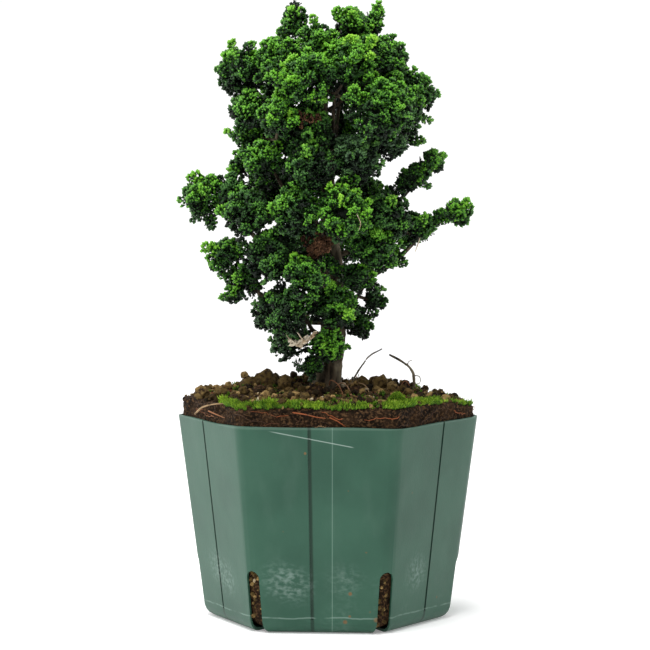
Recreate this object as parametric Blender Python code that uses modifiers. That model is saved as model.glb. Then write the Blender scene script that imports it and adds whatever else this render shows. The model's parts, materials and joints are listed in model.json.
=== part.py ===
"""A dwarf hinoki cypress in training: a single upright trunk with short limbs, each ending in
knobbly fans of scale leaves, growing in a soil block in a six-sided green slit pot.

The origin is the middle of the pot's base, +Z is up and the viewer's side is -Y.
"""
import math
import random
from dataclasses import dataclass

import bmesh
import bpy
import numpy as np
from mathutils import Matrix, Vector
from mathutils.geometry import intersect_point_line

MM = 0.001
UP = Vector((0.0, 0.0, 1.0))

# Pot: a thin six-sided tub that was cut down with a knife, with a slit in each lower corner
SIDES = 6
POT_TURN = math.radians(-4.0)
RIM_RADIUS = 87.0 * MM
BASE_RADIUS = 71.8 * MM
POT_HEIGHT = 115.0 * MM
POT_WALL = 1.5 * MM
POT_EDGE_RADIUS = 11.0 * MM
EDGE_SEGMENTS = 4
RIM_WAVE = 0.7 * MM
RIM_CUTS = 5
SLIT_WIDTH = 8.0 * MM
SLIT_TOP = 35.0 * MM
SLIT_INNER_RADIUS = 50.0 * MM
GROOVE_WIDTH = 1.4 * MM
GROOVE_DEPTH = 0.55 * MM
# Where each face's groove runs, as a share of the face's half width, front face first
GROOVE_SHARES = (-0.11, 0.10, 0.12, -0.10, 0.12, -0.11)

# Soil: the root ball, which keeps the shape of the taller pot and stands above the rim
SOIL_GAP = 0.4 * MM
SOIL_EDGE_TOP = 125.0 * MM
SOIL_DOME = 5.0 * MM
SOIL_RIPPLE = 1.2 * MM
SOIL_TALLEST = 150.0 * MM
SOIL_GRID_CELLS = 17
LUMP_COUNT = 22

# Trunk: height, sideways place, radius
TRUNK_FOOT = 119.0 * MM
TRUNK_POINTS_MM = (
    (119, -1.0, 0.0, 8.2),
    (131, -1.0, 0.0, 8.6),
    (140, 0.0, 0.0, 7.7),
    (158, 2.6, 0.5, 6.7),
    (178, 3.8, 1.0, 5.9),
    (205, 2.6, 1.0, 5.0),
    (240, 0.0, 0.5, 4.1),
    (280, -3.0, 0.0, 3.1),
    (312, -2.0, -1.0, 2.2),
    (328, 1.0, -1.5, 1.5),
)
TRUNK_HOLE_RADIUS = 9.6 * MM
TRUNK_HOLE_SIDES = 24
LIMB_SAG = 0.16
LIMB_STRETCHES = 3
TWIG_RADIUS = 1.1 * MM
TWIG_TIP_RADIUS = 0.7 * MM
TWIG_DEPTH_IN_SPRAY = 0.45
WOOD_CLEARANCE = 0.5 * MM

# Leaf sprays
SPRAY_GAP = 0.6 * MM
SPREAD_OFF_AXIS = 0.30
TRUNK_CHANNEL_ROOM = 0.30
LIMB_CHANNEL_ROOM = 0.80
SMALL_SPRAY_MM = 10.0
CORE_SHARE = 0.84
TIP_SHARE_LOW = 0.98
TIP_SHARE_HIGH = 1.12
LOBE_RELIEF = 0.09
SHOOT_THICKNESS = 2.6 * MM
SHOOT_TIP_SHARE = 0.62
SHOOTS_PER_SQUARE_MM = 0.044
SEED = 20


@dataclass(frozen=True)
class Limb:
    """A main branch: the height where it leaves the trunk, its far end and its first radius, in mm."""

    leaves_at: float
    end: tuple
    radius: float


@dataclass(frozen=True)
class Spray:
    """A cushion of leafy fans at a branch end: its middle, its radius and its flattening, in mm."""

    name: str
    middle: tuple
    radius: float
    stretch: tuple = (1.0, 1.0, 0.92)
    kind: str = "green"


LIMBS = (
    Limb(196, (-58, -5, 236), 2.3),
    Limb(190, (56, -4, 221), 2.3),
    Limb(168, (-46, -10, 192), 2.2),
    Limb(205, (42, 4, 238), 1.8),
    Limb(245, (-38, -5, 296), 2.2),
    Limb(240, (40, -5, 288), 2.2),
    Limb(212, (-12, -31, 246), 1.9),
    Limb(250, (4, -28, 296), 1.9),
    Limb(160, (-14, -26, 174), 1.8),
    Limb(185, (2, 31, 222), 2.2),
    Limb(240, (6, 28, 286), 2.0),
    Limb(166, (-4, 26, 197), 2.0),
    Limb(172, (24, -13, 196), 1.8),
    Limb(215, (-30, -18, 254), 1.8),
    Limb(286, (24, 3, 320), 1.6),
    Limb(284, (-22, -8, 314), 1.6),
)

SPRAYS = (
    Spray("spray_apex_left", (-20, 0, 335), 9.5, (0.9, 0.9, 1.15)),
    Spray("spray_apex_middle", (13, -5, 335), 12.0),
    Spray("spray_apex_right", (25, 5, 335.5), 8.9, (0.95, 0.95, 1.05)),
    Spray("spray_crown_top", (-4, -15, 325), 14.5),
    Spray("spray_crown_left_tip", (-48, -5, 309), 14.2, (1.15, 1.0, 0.85)),
    Spray("spray_crown_left", (-27, -19, 314), 14.9),
    Spray("spray_crown_front", (-9, -42, 305), 18.5, (1.1, 1.0, 0.9)),
    Spray("spray_crown_front_right", (14, -36, 310), 17.0),
    Spray("spray_crown_right", (29, -17, 316), 16.5),
    Spray("spray_crown_right_back", (38, 14, 313), 10.4),
    Spray("spray_right_shoulder", (49, -6, 297), 14.5),
    Spray("spray_right_shoulder_low", (43.5, -19, 290), 12.4),
    Spray("spray_middle_right", (26, -44, 289), 17.5, (1.1, 1.0, 0.9)),
    Spray("spray_left_shoulder", (-45, -13, 286.5), 12.1),
    Spray("spray_front_tuft", (-27, -47, 284), 10.5),
    Spray("spray_left_fan", (-44, -5, 274.5), 10.4, (1.1, 1.0, 0.8)),
    Spray("spray_heart_upper", (-13.5, -29.5, 276.5), 17.8),
    Spray("spray_right_under", (29.5, -23, 273), 13.0, (1.1, 1.0, 0.85)),
    Spray("spray_left_tier", (-48.5, 3, 258), 8.1, (1.15, 1.0, 0.8)),
    Spray("spray_left_bright", (-35, -32, 259), 14.0),
    Spray("spray_heart", (-9, -40, 256), 17.0),
    Spray("spray_heart_right", (14, -33, 262), 16.0),
    Spray("spray_far_left", (-69.5, -5, 239.5), 12.9),
    Spray("spray_far_left_inner", (-52.5, -15, 240.5), 10.5),
    Spray("spray_left_middle", (-44, -32, 231), 15.5),
    Spray("spray_front_middle", (-17, -46, 233), 15.0),
    Spray("spray_front_bright", (7, -49, 232.5), 16.0, (1.1, 1.0, 0.9)),
    Spray("spray_right_inner", (35, -26, 227.5), 15.5),
    Spray("spray_right_arm_low", (50, 0, 248.5), 7.0, (1.35, 0.8, 0.8)),
    Spray("spray_right_arm_tip", (59, -3, 257.5), 6.8, (1.0, 0.9, 1.0)),
    Spray("spray_far_right", (74, -5, 230), 8.5, (1.3, 1.0, 0.85)),
    Spray("spray_far_right_inner", (50.5, -6, 223), 10.0, (1.2, 1.0, 0.8)),
    Spray("spray_low_left_tip", (-58, -10, 205), 10.7),
    Spray("spray_low_left", (-48.5, -13, 191), 13.7),
    Spray("spray_left_heart", (-32, -29, 207), 16.5),
    Spray("spray_dead_brown", (-5, -38, 213), 8.0, (1.0, 0.8, 1.1), "dead"),
    Spray("spray_front_low", (-13, -45, 195), 13.5),
    Spray("spray_right_heart", (26.5, -26, 212), 15.8),
    Spray("spray_right_low_tip", (36, -5, 205.5), 7.9, (1.15, 1.0, 0.8)),
    Spray("spray_right_low_bright", (18, -28, 196), 10.2, (1.15, 1.0, 0.8)),
    Spray("spray_right_foot", (26, -8, 180), 7.0, (1.1, 1.0, 0.8)),
    Spray("spray_front_foot", (-21, -38, 176.5), 13.9),
    Spray("spray_left_foot", (-31, -13, 175), 12.6),
    Spray("spray_middle_foot", (1.5, -32, 177), 14.0),
    Spray("spray_skirt_left", (-20, -17, 159), 11.4),
    Spray("spray_skirt_front", (0, -28, 157), 9.5),
    Spray("spray_skirt_right", (16, 4, 169), 10.0, (0.95, 1.0, 1.1)),
    Spray("spray_back_crown_left", (-26, 27, 313), 17.0),
    Spray("spray_back_crown", (12, 30, 308), 18.5),
    Spray("spray_back_shoulder", (37, 22, 284.5), 16.1),
    Spray("spray_back_left", (-33, 26, 282), 17.5, (1.05, 1.0, 1.05)),
    Spray("spray_back_middle", (2, 38, 270), 19.0, (1.1, 1.0, 1.05)),
    Spray("spray_back_heart", (-24, 28, 243), 18.5, (1.1, 1.0, 1.1)),
    Spray("spray_back_right", (20, 29, 236), 14.5, (1.0, 1.0, 1.15)),
    Spray("spray_back_low", (-4, 29, 207), 19.0, (1.0, 0.95, 1.15)),
)

# Dry stems that stand in the soil on the viewer's right: radius first, then points, all in mm
DRY_STEMS_MM = {
    "dry_stem_thin": (0.55, ((14, -2, 127), (15, -2, 136), (20, -2, 144), (24, -3, 149), (31, -3, 153))),
    "dry_stem_hooked": (0.85, ((49, -6, 123), (49, -6, 136), (47, -6, 142), (42, -6, 146), (35, -7, 150))),
}
STEM_HOLE_DEPTH = 5.0 * MM
STEM_HOLE_GAP = 0.85 * MM
STEM_HOLE_SIDES = 10

COLOURS = {
    "pot_plastic": ((0.060, 0.165, 0.115, 1.0), 0.48),
    "soil": ((0.055, 0.028, 0.014, 1.0), 0.95),
    "bark": ((0.105, 0.062, 0.040, 1.0), 0.90),
    "dry_wood": ((0.115, 0.070, 0.042, 1.0), 0.88),
    "leaf_green": ((0.050, 0.185, 0.022, 1.0), 0.62),
    "leaf_dead": ((0.230, 0.085, 0.032, 1.0), 0.85),
}


def clear_scene():
    """Removes every object of the startup scene."""
    for old in list(bpy.data.objects):
        bpy.data.objects.remove(old, do_unlink=True)


def new_collection(name):
    """A collection linked to the scene."""
    made = bpy.data.collections.new(name)
    bpy.context.scene.collection.children.link(made)
    return made


def make_materials():
    """One Principled material for each finish in COLOURS."""
    made = {}
    for name, (colour, roughness) in COLOURS.items():
        material = bpy.data.materials.new(name)
        material.use_nodes = True
        shader = material.node_tree.nodes["Principled BSDF"]
        shader.inputs["Base Color"].default_value = colour
        shader.inputs["Roughness"].default_value = roughness
        shader.inputs["Metallic"].default_value = 0.0
        material.diffuse_color = colour
        made[name] = material
    return made


def add_object(name, mesh, collection, material=None):
    """An object for the mesh, in the collection, with its material."""
    made = bpy.data.objects.new(name, mesh)
    collection.objects.link(made)
    if material is not None:
        mesh.materials.clear()
        mesh.materials.append(material)
    return made


def object_from_bmesh(name, shape, collection, material=None):
    """Turns a bmesh into an object and frees it."""
    mesh = bpy.data.meshes.new(name)
    shape.to_mesh(mesh)
    shape.free()
    return add_object(name, mesh, collection, material)


def as_cutter(obj):
    """Marks a helper that only cuts or joins."""
    obj.hide_render = True
    obj.display_type = "WIRE"
    return obj


def apply_modifiers(obj):
    """Bakes the object's modifiers into its mesh."""
    graph = bpy.context.evaluated_depsgraph_get()
    mesh = bpy.data.meshes.new_from_object(obj.evaluated_get(graph))
    obj.modifiers.clear()
    obj.data = mesh


def boolean_with(obj, others, operation, solver="EXACT"):
    """Cuts or joins obj with a collection of helpers, applies it, and removes the helpers."""
    joint = obj.modifiers.new(operation.lower(), "BOOLEAN")
    joint.operation = operation
    joint.operand_type = "COLLECTION"
    joint.collection = others
    joint.solver = solver
    bpy.context.view_layer.update()
    apply_modifiers(obj)
    for helper in list(others.objects):
        bpy.data.objects.remove(helper, do_unlink=True)
    bpy.data.collections.remove(others)


def radius_at(height):
    """The pot's corner radius at a height, from its straight taper."""
    return BASE_RADIUS + (RIM_RADIUS - BASE_RADIUS) * height / POT_HEIGHT


def wall_tilt():
    """How far a face of the pot leans outwards, in radians."""
    return math.atan((RIM_RADIUS - BASE_RADIUS) * math.cos(math.pi / SIDES) / POT_HEIGHT)


def hexagon_tub(low, high, inset, edge_radius):
    """A six-sided tapering block with rounded upright corners and a rounded base edge.

    Its faces lie inset inside the pot's outer faces. One of them looks along -Y but for POT_TURN.
    """
    corner_inset = inset / math.cos(wall_tilt()) / math.cos(math.pi / SIDES)
    shape = bmesh.new()
    bmesh.ops.create_cone(
        shape,
        cap_ends=True,
        segments=SIDES,
        radius1=radius_at(low) - corner_inset,
        radius2=radius_at(high) - corner_inset,
        depth=high - low,
        matrix=Matrix.Rotation(math.pi / SIDES + POT_TURN, 4, "Z"),
    )
    bmesh.ops.translate(shape, verts=shape.verts, vec=(0, 0, (low + high) / 2))
    top = [e for e in shape.edges if all(v.co.z > high - MM for v in e.verts)]
    rounded = [e for e in shape.edges if e not in top]
    bmesh.ops.bevel(
        shape, geom=rounded, offset=edge_radius * math.tan(math.pi / SIDES), affect="EDGES",
        segments=EDGE_SEGMENTS, profile=0.5, clamp_overlap=True,
    )
    bmesh.ops.recalc_face_normals(shape, faces=shape.faces)
    return shape


def rim_height(x, y):
    """The wandering height of the knife cut round the rim."""
    turn = math.atan2(y, x)
    return POT_HEIGHT + RIM_WAVE * (0.6 * math.sin(3 * turn + 0.7) + 0.4 * math.sin(8 * turn))


def make_pot(collection, material):
    """The thin tub with its wavy cut rim, a slit in each lower corner and a groove down each face."""
    shape = hexagon_tub(0.0, POT_HEIGHT, 0.0, POT_EDGE_RADIUS)
    lids = [f for f in shape.faces if f.calc_center_median().z > POT_HEIGHT - MM]
    bmesh.ops.delete(shape, geom=lids, context="FACES_ONLY")
    rim = [e for e in shape.edges if e.is_boundary and e.calc_length() > 2 * POT_EDGE_RADIUS]
    bmesh.ops.subdivide_edges(shape, edges=rim, cuts=RIM_CUTS)
    for vertex in shape.verts:
        if vertex.is_boundary:
            vertex.co.z = rim_height(vertex.co.x, vertex.co.y)
    pot = object_from_bmesh("pot", shape, collection, material)
    wall = pot.modifiers.new("wall", "SOLIDIFY")
    wall.thickness = POT_WALL
    wall.offset = -1
    wall.use_even_offset = True
    apply_modifiers(pot)
    cutters = new_collection("pot_cutters")
    for corner in range(SIDES):
        add_slit_cutter(corner, cutters)
        add_groove_cutter(corner, cutters)
    boolean_with(pot, cutters, "DIFFERENCE")
    pot.data.materials.clear()
    pot.data.materials.append(material)
    pot.data.shade_smooth()
    pot.data.set_sharp_from_angle(angle=math.radians(35))
    return pot


def add_slit_cutter(corner, cutters):
    """A round-topped slot that runs out through one corner, from under the base to SLIT_TOP."""
    turn = math.tau * corner / SIDES + POT_TURN
    reach = RIM_RADIUS - SLIT_INNER_RADIUS + 10 * MM
    middle = SLIT_INNER_RADIUS + reach / 2
    straight_top = SLIT_TOP - SLIT_WIDTH / 2
    low = -5 * MM
    shape = bmesh.new()
    outline = [(-SLIT_WIDTH / 2, low), (SLIT_WIDTH / 2, low)]
    for step in range(9):
        angle = math.pi * step / 8
        outline.append((SLIT_WIDTH / 2 * math.cos(angle), straight_top + SLIT_WIDTH / 2 * math.sin(angle)))
    face = shape.faces.new([shape.verts.new((-reach / 2, x, z)) for x, z in outline])
    made = bmesh.ops.extrude_face_region(shape, geom=[face])
    moved = [v for v in made["geom"] if isinstance(v, bmesh.types.BMVert)]
    bmesh.ops.translate(shape, verts=moved, vec=(reach, 0, 0))
    bmesh.ops.recalc_face_normals(shape, faces=shape.faces)
    cutter = as_cutter(object_from_bmesh(f"slit_cutter_{corner}", shape, cutters))
    cutter.matrix_world = Matrix.Rotation(turn, 4, "Z") @ Matrix.Translation((middle, 0, 0))


def add_groove_cutter(face, cutters):
    """A thin bar that leaves a shallow groove down one face, leaning with the taper."""
    outward = -math.pi / 2 + math.tau * face / SIDES + POT_TURN
    share = GROOVE_SHARES[face] / 2
    apothem = math.cos(math.pi / SIDES)
    foot = Vector((apothem * radius_at(0), share * radius_at(0), 0))
    head = Vector((apothem * radius_at(POT_HEIGHT), share * radius_at(POT_HEIGHT), POT_HEIGHT))
    along = head - foot
    middle = (head + foot) / 2 + along.normalized() * 5 * MM
    shape = bmesh.new()
    bmesh.ops.create_cube(shape, size=1.0)
    bmesh.ops.scale(shape, vec=(2 * GROOVE_DEPTH, GROOVE_WIDTH, along.length - 6 * MM), verts=shape.verts)
    cutter = as_cutter(object_from_bmesh(f"groove_cutter_{face}", shape, cutters))
    lean = UP.rotation_difference(along).to_matrix().to_4x4()
    cutter.matrix_world = Matrix.Rotation(outward, 4, "Z") @ Matrix.Translation(middle) @ lean


def soil_height(x, y, lumps):
    """The soil's upper surface: a low dome with clods, lower at the edge."""
    share = min(1.0, math.hypot(x, y) / RIM_RADIUS)
    height = SOIL_EDGE_TOP + SOIL_DOME * (1 - share**2)
    height += SOIL_RIPPLE * math.sin(x / (6.1 * MM)) * math.cos(y / (7.3 * MM) + 1.0)
    for centre_x, centre_y, width, rise in lumps:
        height += rise * math.exp(-((x - centre_x) ** 2 + (y - centre_y) ** 2) / width**2)
    return height


def make_soil(collection, material):
    """The root ball: the pot's inner shape carried on above the rim, with a rough top and fused grains."""
    draw = random.Random(SEED)
    lumps = [
        (-32 * MM, 10 * MM, 20 * MM, 3.5 * MM),
        (30 * MM, 6 * MM, 16 * MM, 1.5 * MM),
        (78 * MM, 10 * MM, 38 * MM, -4.5 * MM),
    ]
    for _ in range(10):
        lumps.append((draw.uniform(-60, 60) * MM, draw.uniform(-50, 50) * MM,
                      draw.uniform(6, 10) * MM, draw.uniform(-1.2, 1.6) * MM))
    inset = POT_WALL + SOIL_GAP
    shape = hexagon_tub(inset, SOIL_TALLEST, inset, POT_EDGE_RADIUS - inset)
    soil = object_from_bmesh("soil", shape, collection, material)

    crust = bmesh.new()
    half = RIM_RADIUS * 1.12
    bmesh.ops.create_grid(crust, x_segments=SOIL_GRID_CELLS, y_segments=SOIL_GRID_CELLS, size=half)
    for vertex in crust.verts:
        vertex.co.z = soil_height(vertex.co.x, vertex.co.y, lumps)
    made = bmesh.ops.extrude_face_region(crust, geom=crust.faces[:])
    lowered = [v for v in made["geom"] if isinstance(v, bmesh.types.BMVert)]
    for vertex in lowered:
        vertex.co.z = SOIL_TALLEST + 10 * MM
    bmesh.ops.recalc_face_normals(crust, faces=crust.faces)
    cutters = new_collection("soil_cutters")
    as_cutter(object_from_bmesh("air_cutter", crust, cutters))
    boolean_with(soil, cutters, "DIFFERENCE")

    grains = new_collection("soil_grains")
    for number in range(LUMP_COUNT):
        grain = bmesh.new()
        bmesh.ops.create_icosphere(grain, subdivisions=1, radius=draw.uniform(2.4, 6.0) * MM)
        turn = draw.uniform(0, math.tau)
        reach = RIM_RADIUS * 0.80 * math.sqrt(draw.uniform(0.06, 1))
        x, y = reach * math.cos(turn), reach * math.sin(turn) * 0.95
        squash = Matrix.Diagonal((draw.uniform(0.8, 1.25), 1.0, draw.uniform(0.7, 1.0), 1.0))
        spin = Matrix.Rotation(draw.uniform(0, math.tau), 4, "Z")
        spin = spin @ Matrix.Rotation(draw.uniform(0, 1), 4, "X")
        grain.transform(Matrix.Translation((x, y, soil_height(x, y, lumps) + 0.6 * MM)) @ spin @ squash)
        as_cutter(object_from_bmesh(f"grain_{number}", grain, grains))
    boolean_with(soil, grains, "UNION")

    holes = new_collection("soil_holes")
    add_hole(holes, Vector((TRUNK_POINTS_MM[0][1], TRUNK_POINTS_MM[0][2], 0)) * MM,
             TRUNK_FOOT - WOOD_CLEARANCE, TRUNK_HOLE_RADIUS, TRUNK_HOLE_SIDES)
    for radius, points in DRY_STEMS_MM.values():
        foot = Vector(points[0]) * MM
        wide = radius * MM + STEM_HOLE_GAP
        add_hole(holes, foot, foot.z - WOOD_CLEARANCE, wide, STEM_HOLE_SIDES)
    boolean_with(soil, holes, "DIFFERENCE")
    soil.data.materials.clear()
    soil.data.materials.append(material)
    return soil


def add_hole(holes, place, floor, radius, sides):
    """A plain upright hole that a stem stands in."""
    depth = SOIL_TALLEST - floor
    shape = bmesh.new()
    bmesh.ops.create_cone(shape, cap_ends=True, segments=sides, radius1=radius, radius2=radius, depth=depth)
    bmesh.ops.translate(shape, verts=shape.verts, vec=(place.x, place.y, floor + depth / 2))
    as_cutter(object_from_bmesh(f"hole_{len(holes.objects)}", shape, holes))


def tube(name, points, radii, sides_setting, collection):
    """A tapering tube along the points, as a closed mesh object."""
    curve = bpy.data.curves.new(name, "CURVE")
    curve.dimensions = "3D"
    curve.bevel_depth = 1.0
    curve.bevel_resolution = sides_setting
    curve.use_fill_caps = True
    spline = curve.splines.new("POLY")
    spline.points.add(len(points) - 1)
    for slot, place, radius in zip(spline.points, points, radii):
        slot.co = (*place, 1.0)
        slot.radius = radius
    guide = bpy.data.objects.new(name, curve)
    collection.objects.link(guide)
    bpy.context.view_layer.update()
    graph = bpy.context.evaluated_depsgraph_get()
    mesh = bpy.data.meshes.new_from_object(guide.evaluated_get(graph))
    bpy.data.objects.remove(guide, do_unlink=True)
    shape = bmesh.new()
    shape.from_mesh(mesh)
    bmesh.ops.remove_doubles(shape, verts=shape.verts, dist=0.00002)
    bmesh.ops.recalc_face_normals(shape, faces=shape.faces)
    return object_from_bmesh(name, shape, collection)


def trunk_line():
    """The trunk's centre points and radii."""
    points = [Vector((x, y, z)) * MM for z, x, y, _ in TRUNK_POINTS_MM]
    return points, [radius * MM for *_, radius in TRUNK_POINTS_MM]


def trunk_at(height):
    """The trunk's centre and radius at a height."""
    points, radii = trunk_line()
    for low, high, wide, narrow in zip(points, points[1:], radii, radii[1:]):
        if height <= high.z:
            share = max(0.0, (height - low.z) / (high.z - low.z))
            return low.lerp(high, share), wide + (narrow - wide) * share
    return points[-1], radii[-1]


def limb_line(limb):
    """A limb's points and radii: it leaves the trunk steeply outwards, then lifts towards its end."""
    start, _ = trunk_at(limb.leaves_at * MM)
    end = Vector(limb.end) * MM
    points, radii = [], []
    for step in range(LIMB_STRETCHES + 1):
        share = step / LIMB_STRETCHES
        place = start.lerp(end, share)
        place.z -= LIMB_SAG * (end - start).length * math.sin(math.pi * share)
        points.append(place)
        radii.append(limb.radius * MM * (1.0 - 0.5 * share))
    return points, radii


def nearest_on(lines, target):
    """The point on any of the lines that a twig to the target would leave from, lower ones preferred."""
    best = None
    for points, radii in lines:
        for low, high, wide, narrow in zip(points, points[1:], radii, radii[1:]):
            place, share = intersect_point_line(target, low, high)
            share = min(1.0, max(0.0, share))
            place = low.lerp(high, share)
            cost = (target - place).length + 0.6 * max(0.0, place.z - target.z + 4 * MM)
            if best is None or cost < best[0]:
                best = (cost, place, wide + (narrow - wide) * share)
    return best[1], best[2]


def closest_between(target, low, high):
    """The closest point to the target on the stretch from low to high."""
    _, share = intersect_point_line(target, low, high)
    return low.lerp(high, min(1.0, max(0.0, share)))


def twig_line(spray, lines):
    """The short twig that carries a spray: from the nearest wood to inside the spray."""
    middle = Vector(spray.middle) * MM
    start, _ = nearest_on(lines, middle)
    inward = (start - middle).normalized()
    tip = middle + inward * spray.radius * MM * TWIG_DEPTH_IN_SPRAY
    return start, tip


def make_wood(collection, material):
    """Trunk, limbs and twigs, joined in one piece of wood. Also returns the centre lines of its branches."""
    points, radii = trunk_line()
    wood = tube("trunk_and_branches", points, radii, 3, collection)
    branches = new_collection("branches")
    lines = [(points, radii)]
    for number, limb in enumerate(LIMBS):
        limb_points, limb_radii = limb_line(limb)
        tube(f"limb_{number}", limb_points, limb_radii, 1, branches)
        lines.append((limb_points, limb_radii))
    twigs = {}
    for spray in SPRAYS:
        start, tip = twig_line(spray, lines)
        tube(f"twig_{spray.name}", [start, tip], [TWIG_RADIUS, TWIG_TIP_RADIUS], 0, branches)
        twigs[spray.name] = (start, tip)
    for branch in branches.objects:
        as_cutter(branch)
    boolean_with(wood, branches, "UNION", "MANIFOLD")
    wood.data.materials.clear()
    wood.data.materials.append(material)
    return wood, lines, twigs


def wood_stretches(lines, twigs):
    """Every straight stretch of wood as its two ends, its two radii and the twig's name, if it is one."""
    stretches = [
        (low, high, wide, narrow, "")
        for points, radii in lines
        for low, high, wide, narrow in zip(points, points[1:], radii, radii[1:])
    ]
    stretches += [(start, tip, TWIG_RADIUS, TWIG_TIP_RADIUS, name) for name, (start, tip) in twigs.items()]
    return stretches


def limits_of(spray, stretches):
    """What keeps a spray off its neighbours and the wood.

    It is a list of planes, each an outward direction with its distance from the spray's middle, and
    a list of the stretches of wood that pass too near for a plane and so get a channel cut for them.
    """
    here = Vector(spray.middle) * MM
    size = spray.radius * MM
    planes, channels = [], []
    for other in SPRAYS:
        if other is not spray:
            apart = Vector(other.middle) * MM - here
            gap = apart.length
            share = (gap**2 + size**2 - (other.radius * MM) ** 2) / (2 * gap)
            planes.append((np.array(apart / gap), share - SPRAY_GAP / 2))
    for low, high, wide, narrow, name in stretches:
        towards = closest_between(here, low, high) - here
        room = towards.length - max(wide, narrow) - WOOD_CLEARANCE
        least = (TRUNK_CHANNEL_ROOM if wide > 3 * MM else LIMB_CHANNEL_ROOM) * size
        if name == spray.name or room < least:
            channels.append((low, high, wide, narrow))
        elif room < 3 * size:
            planes.append((np.array(towards.normalized()), room))
    return planes, channels


def pick_spread(faces, count, draw):
    """Picks this many faces, each as far as can be from those picked before it."""
    faces = list(faces)
    picked = [draw.choice(faces)]
    while len(picked) < min(count, len(faces)):
        picked.append(max(
            (face for face in faces if face not in picked),
            key=lambda face: min((face.normal - other.normal).length for other in picked),
        ))
    return picked


def grow_shoots(shape, spray, draw):
    """Raises blunt three-sided shoots, at their true thickness, on some faces of a unit-sphere core."""
    size = spray.radius * MM * CORE_SHARE
    shape.normal_update()
    chosen = pick_spread(shape.faces, round(SHOOTS_PER_SQUARE_MM * spray.radius**2), draw)
    edge = sum(e.calc_length() for e in chosen[0].edges) / 3
    border = max(0.05, (edge - SHOOT_THICKNESS / size) / math.sqrt(12))
    bmesh.ops.inset_individual(shape, faces=chosen, thickness=border, depth=0.0)
    raised = bmesh.ops.extrude_discrete_faces(shape, faces=chosen)["faces"]
    for face in raised:
        middle = face.calc_center_median()
        length = draw.uniform(TIP_SHARE_LOW, TIP_SHARE_HIGH) / CORE_SHARE
        lean = Vector((draw.uniform(-0.16, 0.16), draw.uniform(-0.16, 0.16), draw.uniform(0.0, 0.26)))
        tip = middle.normalized() * length + lean
        for vertex in face.verts:
            vertex.co = tip + (vertex.co - middle) * SHOOT_TIP_SHARE


def make_spray(spray, stretches, collection, materials):
    """A spray: a lobed core that blunt leafy shoots stand out of, cut to the room that it has."""
    draw = random.Random(f"{SEED} {spray.name}")
    planes, channels = limits_of(spray, stretches)
    shape = bmesh.new()
    bmesh.ops.create_icosphere(shape, subdivisions=1 if spray.radius < SMALL_SPRAY_MM else 2, radius=1.0)
    spin = Matrix.Rotation(draw.uniform(0, math.tau), 4, "Z")
    shape.transform(spin @ Matrix.Rotation(draw.uniform(0, 3), 4, "X"))
    grow_shoots(shape, spray, draw)
    phases = [draw.uniform(0, math.tau) for _ in range(3)]
    middle = Vector(spray.middle) * MM
    outward = (middle - trunk_at(middle.z - spray.radius * MM)[0]).normalized()
    reach_of_core = np.array(spray.stretch) * spray.radius * MM * CORE_SHARE
    for vertex in shape.verts:
        way = vertex.co.normalized()
        lobes = sum(math.sin(3.1 * way[axis] + 2.3 * way[axis - 1] + phases[axis]) for axis in range(3))
        # A spray is fuller sideways and towards the trunk than outwards
        fullness = 1 + SPREAD_OFF_AXIS * (1 - way.dot(outward))
        reach = np.array(vertex.co) * reach_of_core * (1 + LOBE_RELIEF * lobes) * fullness
        # The core takes less of the room towards a neighbour than the shoots, which stand out there too
        used = 0.80 if vertex.co.length < 1.02 else 1.0
        limit = min(
            (used * room / (reach @ towards) for towards, room in planes if reach @ towards > 1e-9),
            default=1.0,
        )
        vertex.co = Vector(reach * min(1.0, limit)) + middle
    material = materials["leaf_dead" if spray.kind == "dead" else "leaf_green"]
    made = object_from_bmesh(spray.name, shape, collection, material)
    cutters = new_collection(f"channels_{spray.name}")
    for low, high, wide, narrow in channels:
        along = (high - low).normalized() * WOOD_CLEARANCE
        grown = [wide + WOOD_CLEARANCE, narrow + WOOD_CLEARANCE]
        as_cutter(tube("channel", [low - along, high + along], grown, 1, cutters))
    boolean_with(made, cutters, "DIFFERENCE", "MANIFOLD")
    keep_largest_body(made)
    made.data.materials.clear()
    made.data.materials.append(material)
    return made


def keep_largest_body(obj):
    """Drops the scraps that a cut left loose."""
    shape = bmesh.new()
    shape.from_mesh(obj.data)
    left, bodies = set(shape.verts), []
    while left:
        reached, edge_of_search = set(), [next(iter(left))]
        while edge_of_search:
            vertex = edge_of_search.pop()
            if vertex not in reached:
                reached.add(vertex)
                edge_of_search += [e.other_vert(vertex) for e in vertex.link_edges]
        bodies.append(reached)
        left -= reached
    largest = max(bodies, key=len)
    bmesh.ops.delete(shape, geom=[v for v in shape.verts if v not in largest], context="VERTS")
    shape.to_mesh(obj.data)
    shape.free()


def make_dry_stems(collection, material):
    """The bare dry stems that stand in holes in the soil."""
    for name, (radius, points) in DRY_STEMS_MM.items():
        line = [Vector(point) * MM for point in points]
        radii = [radius * MM * (1.0 - 0.35 * step / (len(line) - 1)) for step in range(len(line))]
        stem = tube(name, line, radii, 1, collection)
        stem.data.materials.append(material)


def main():
    """Builds the plant and its pot."""
    clear_scene()
    parts = new_collection("hinoki_cypress_bonsai")
    materials = make_materials()
    make_pot(parts, materials["pot_plastic"])
    make_soil(parts, materials["soil"])
    _, lines, twigs = make_wood(parts, materials["bark"])
    stretches = wood_stretches(lines, twigs)
    for spray in SPRAYS:
        make_spray(spray, stretches, parts, materials)
    make_dry_stems(parts, materials["dry_wood"])


if __name__ == "__main__":
    main()
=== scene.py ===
"""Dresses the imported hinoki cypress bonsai: fine leaf fans, bark, soil, moss, roots and worn pot plastic."""

import json
import logging
import math
from dataclasses import dataclass, field
from enum import Enum

import bmesh
import bpy
import numpy as np
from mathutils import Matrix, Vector
from mathutils.bvhtree import BVHTree

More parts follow.
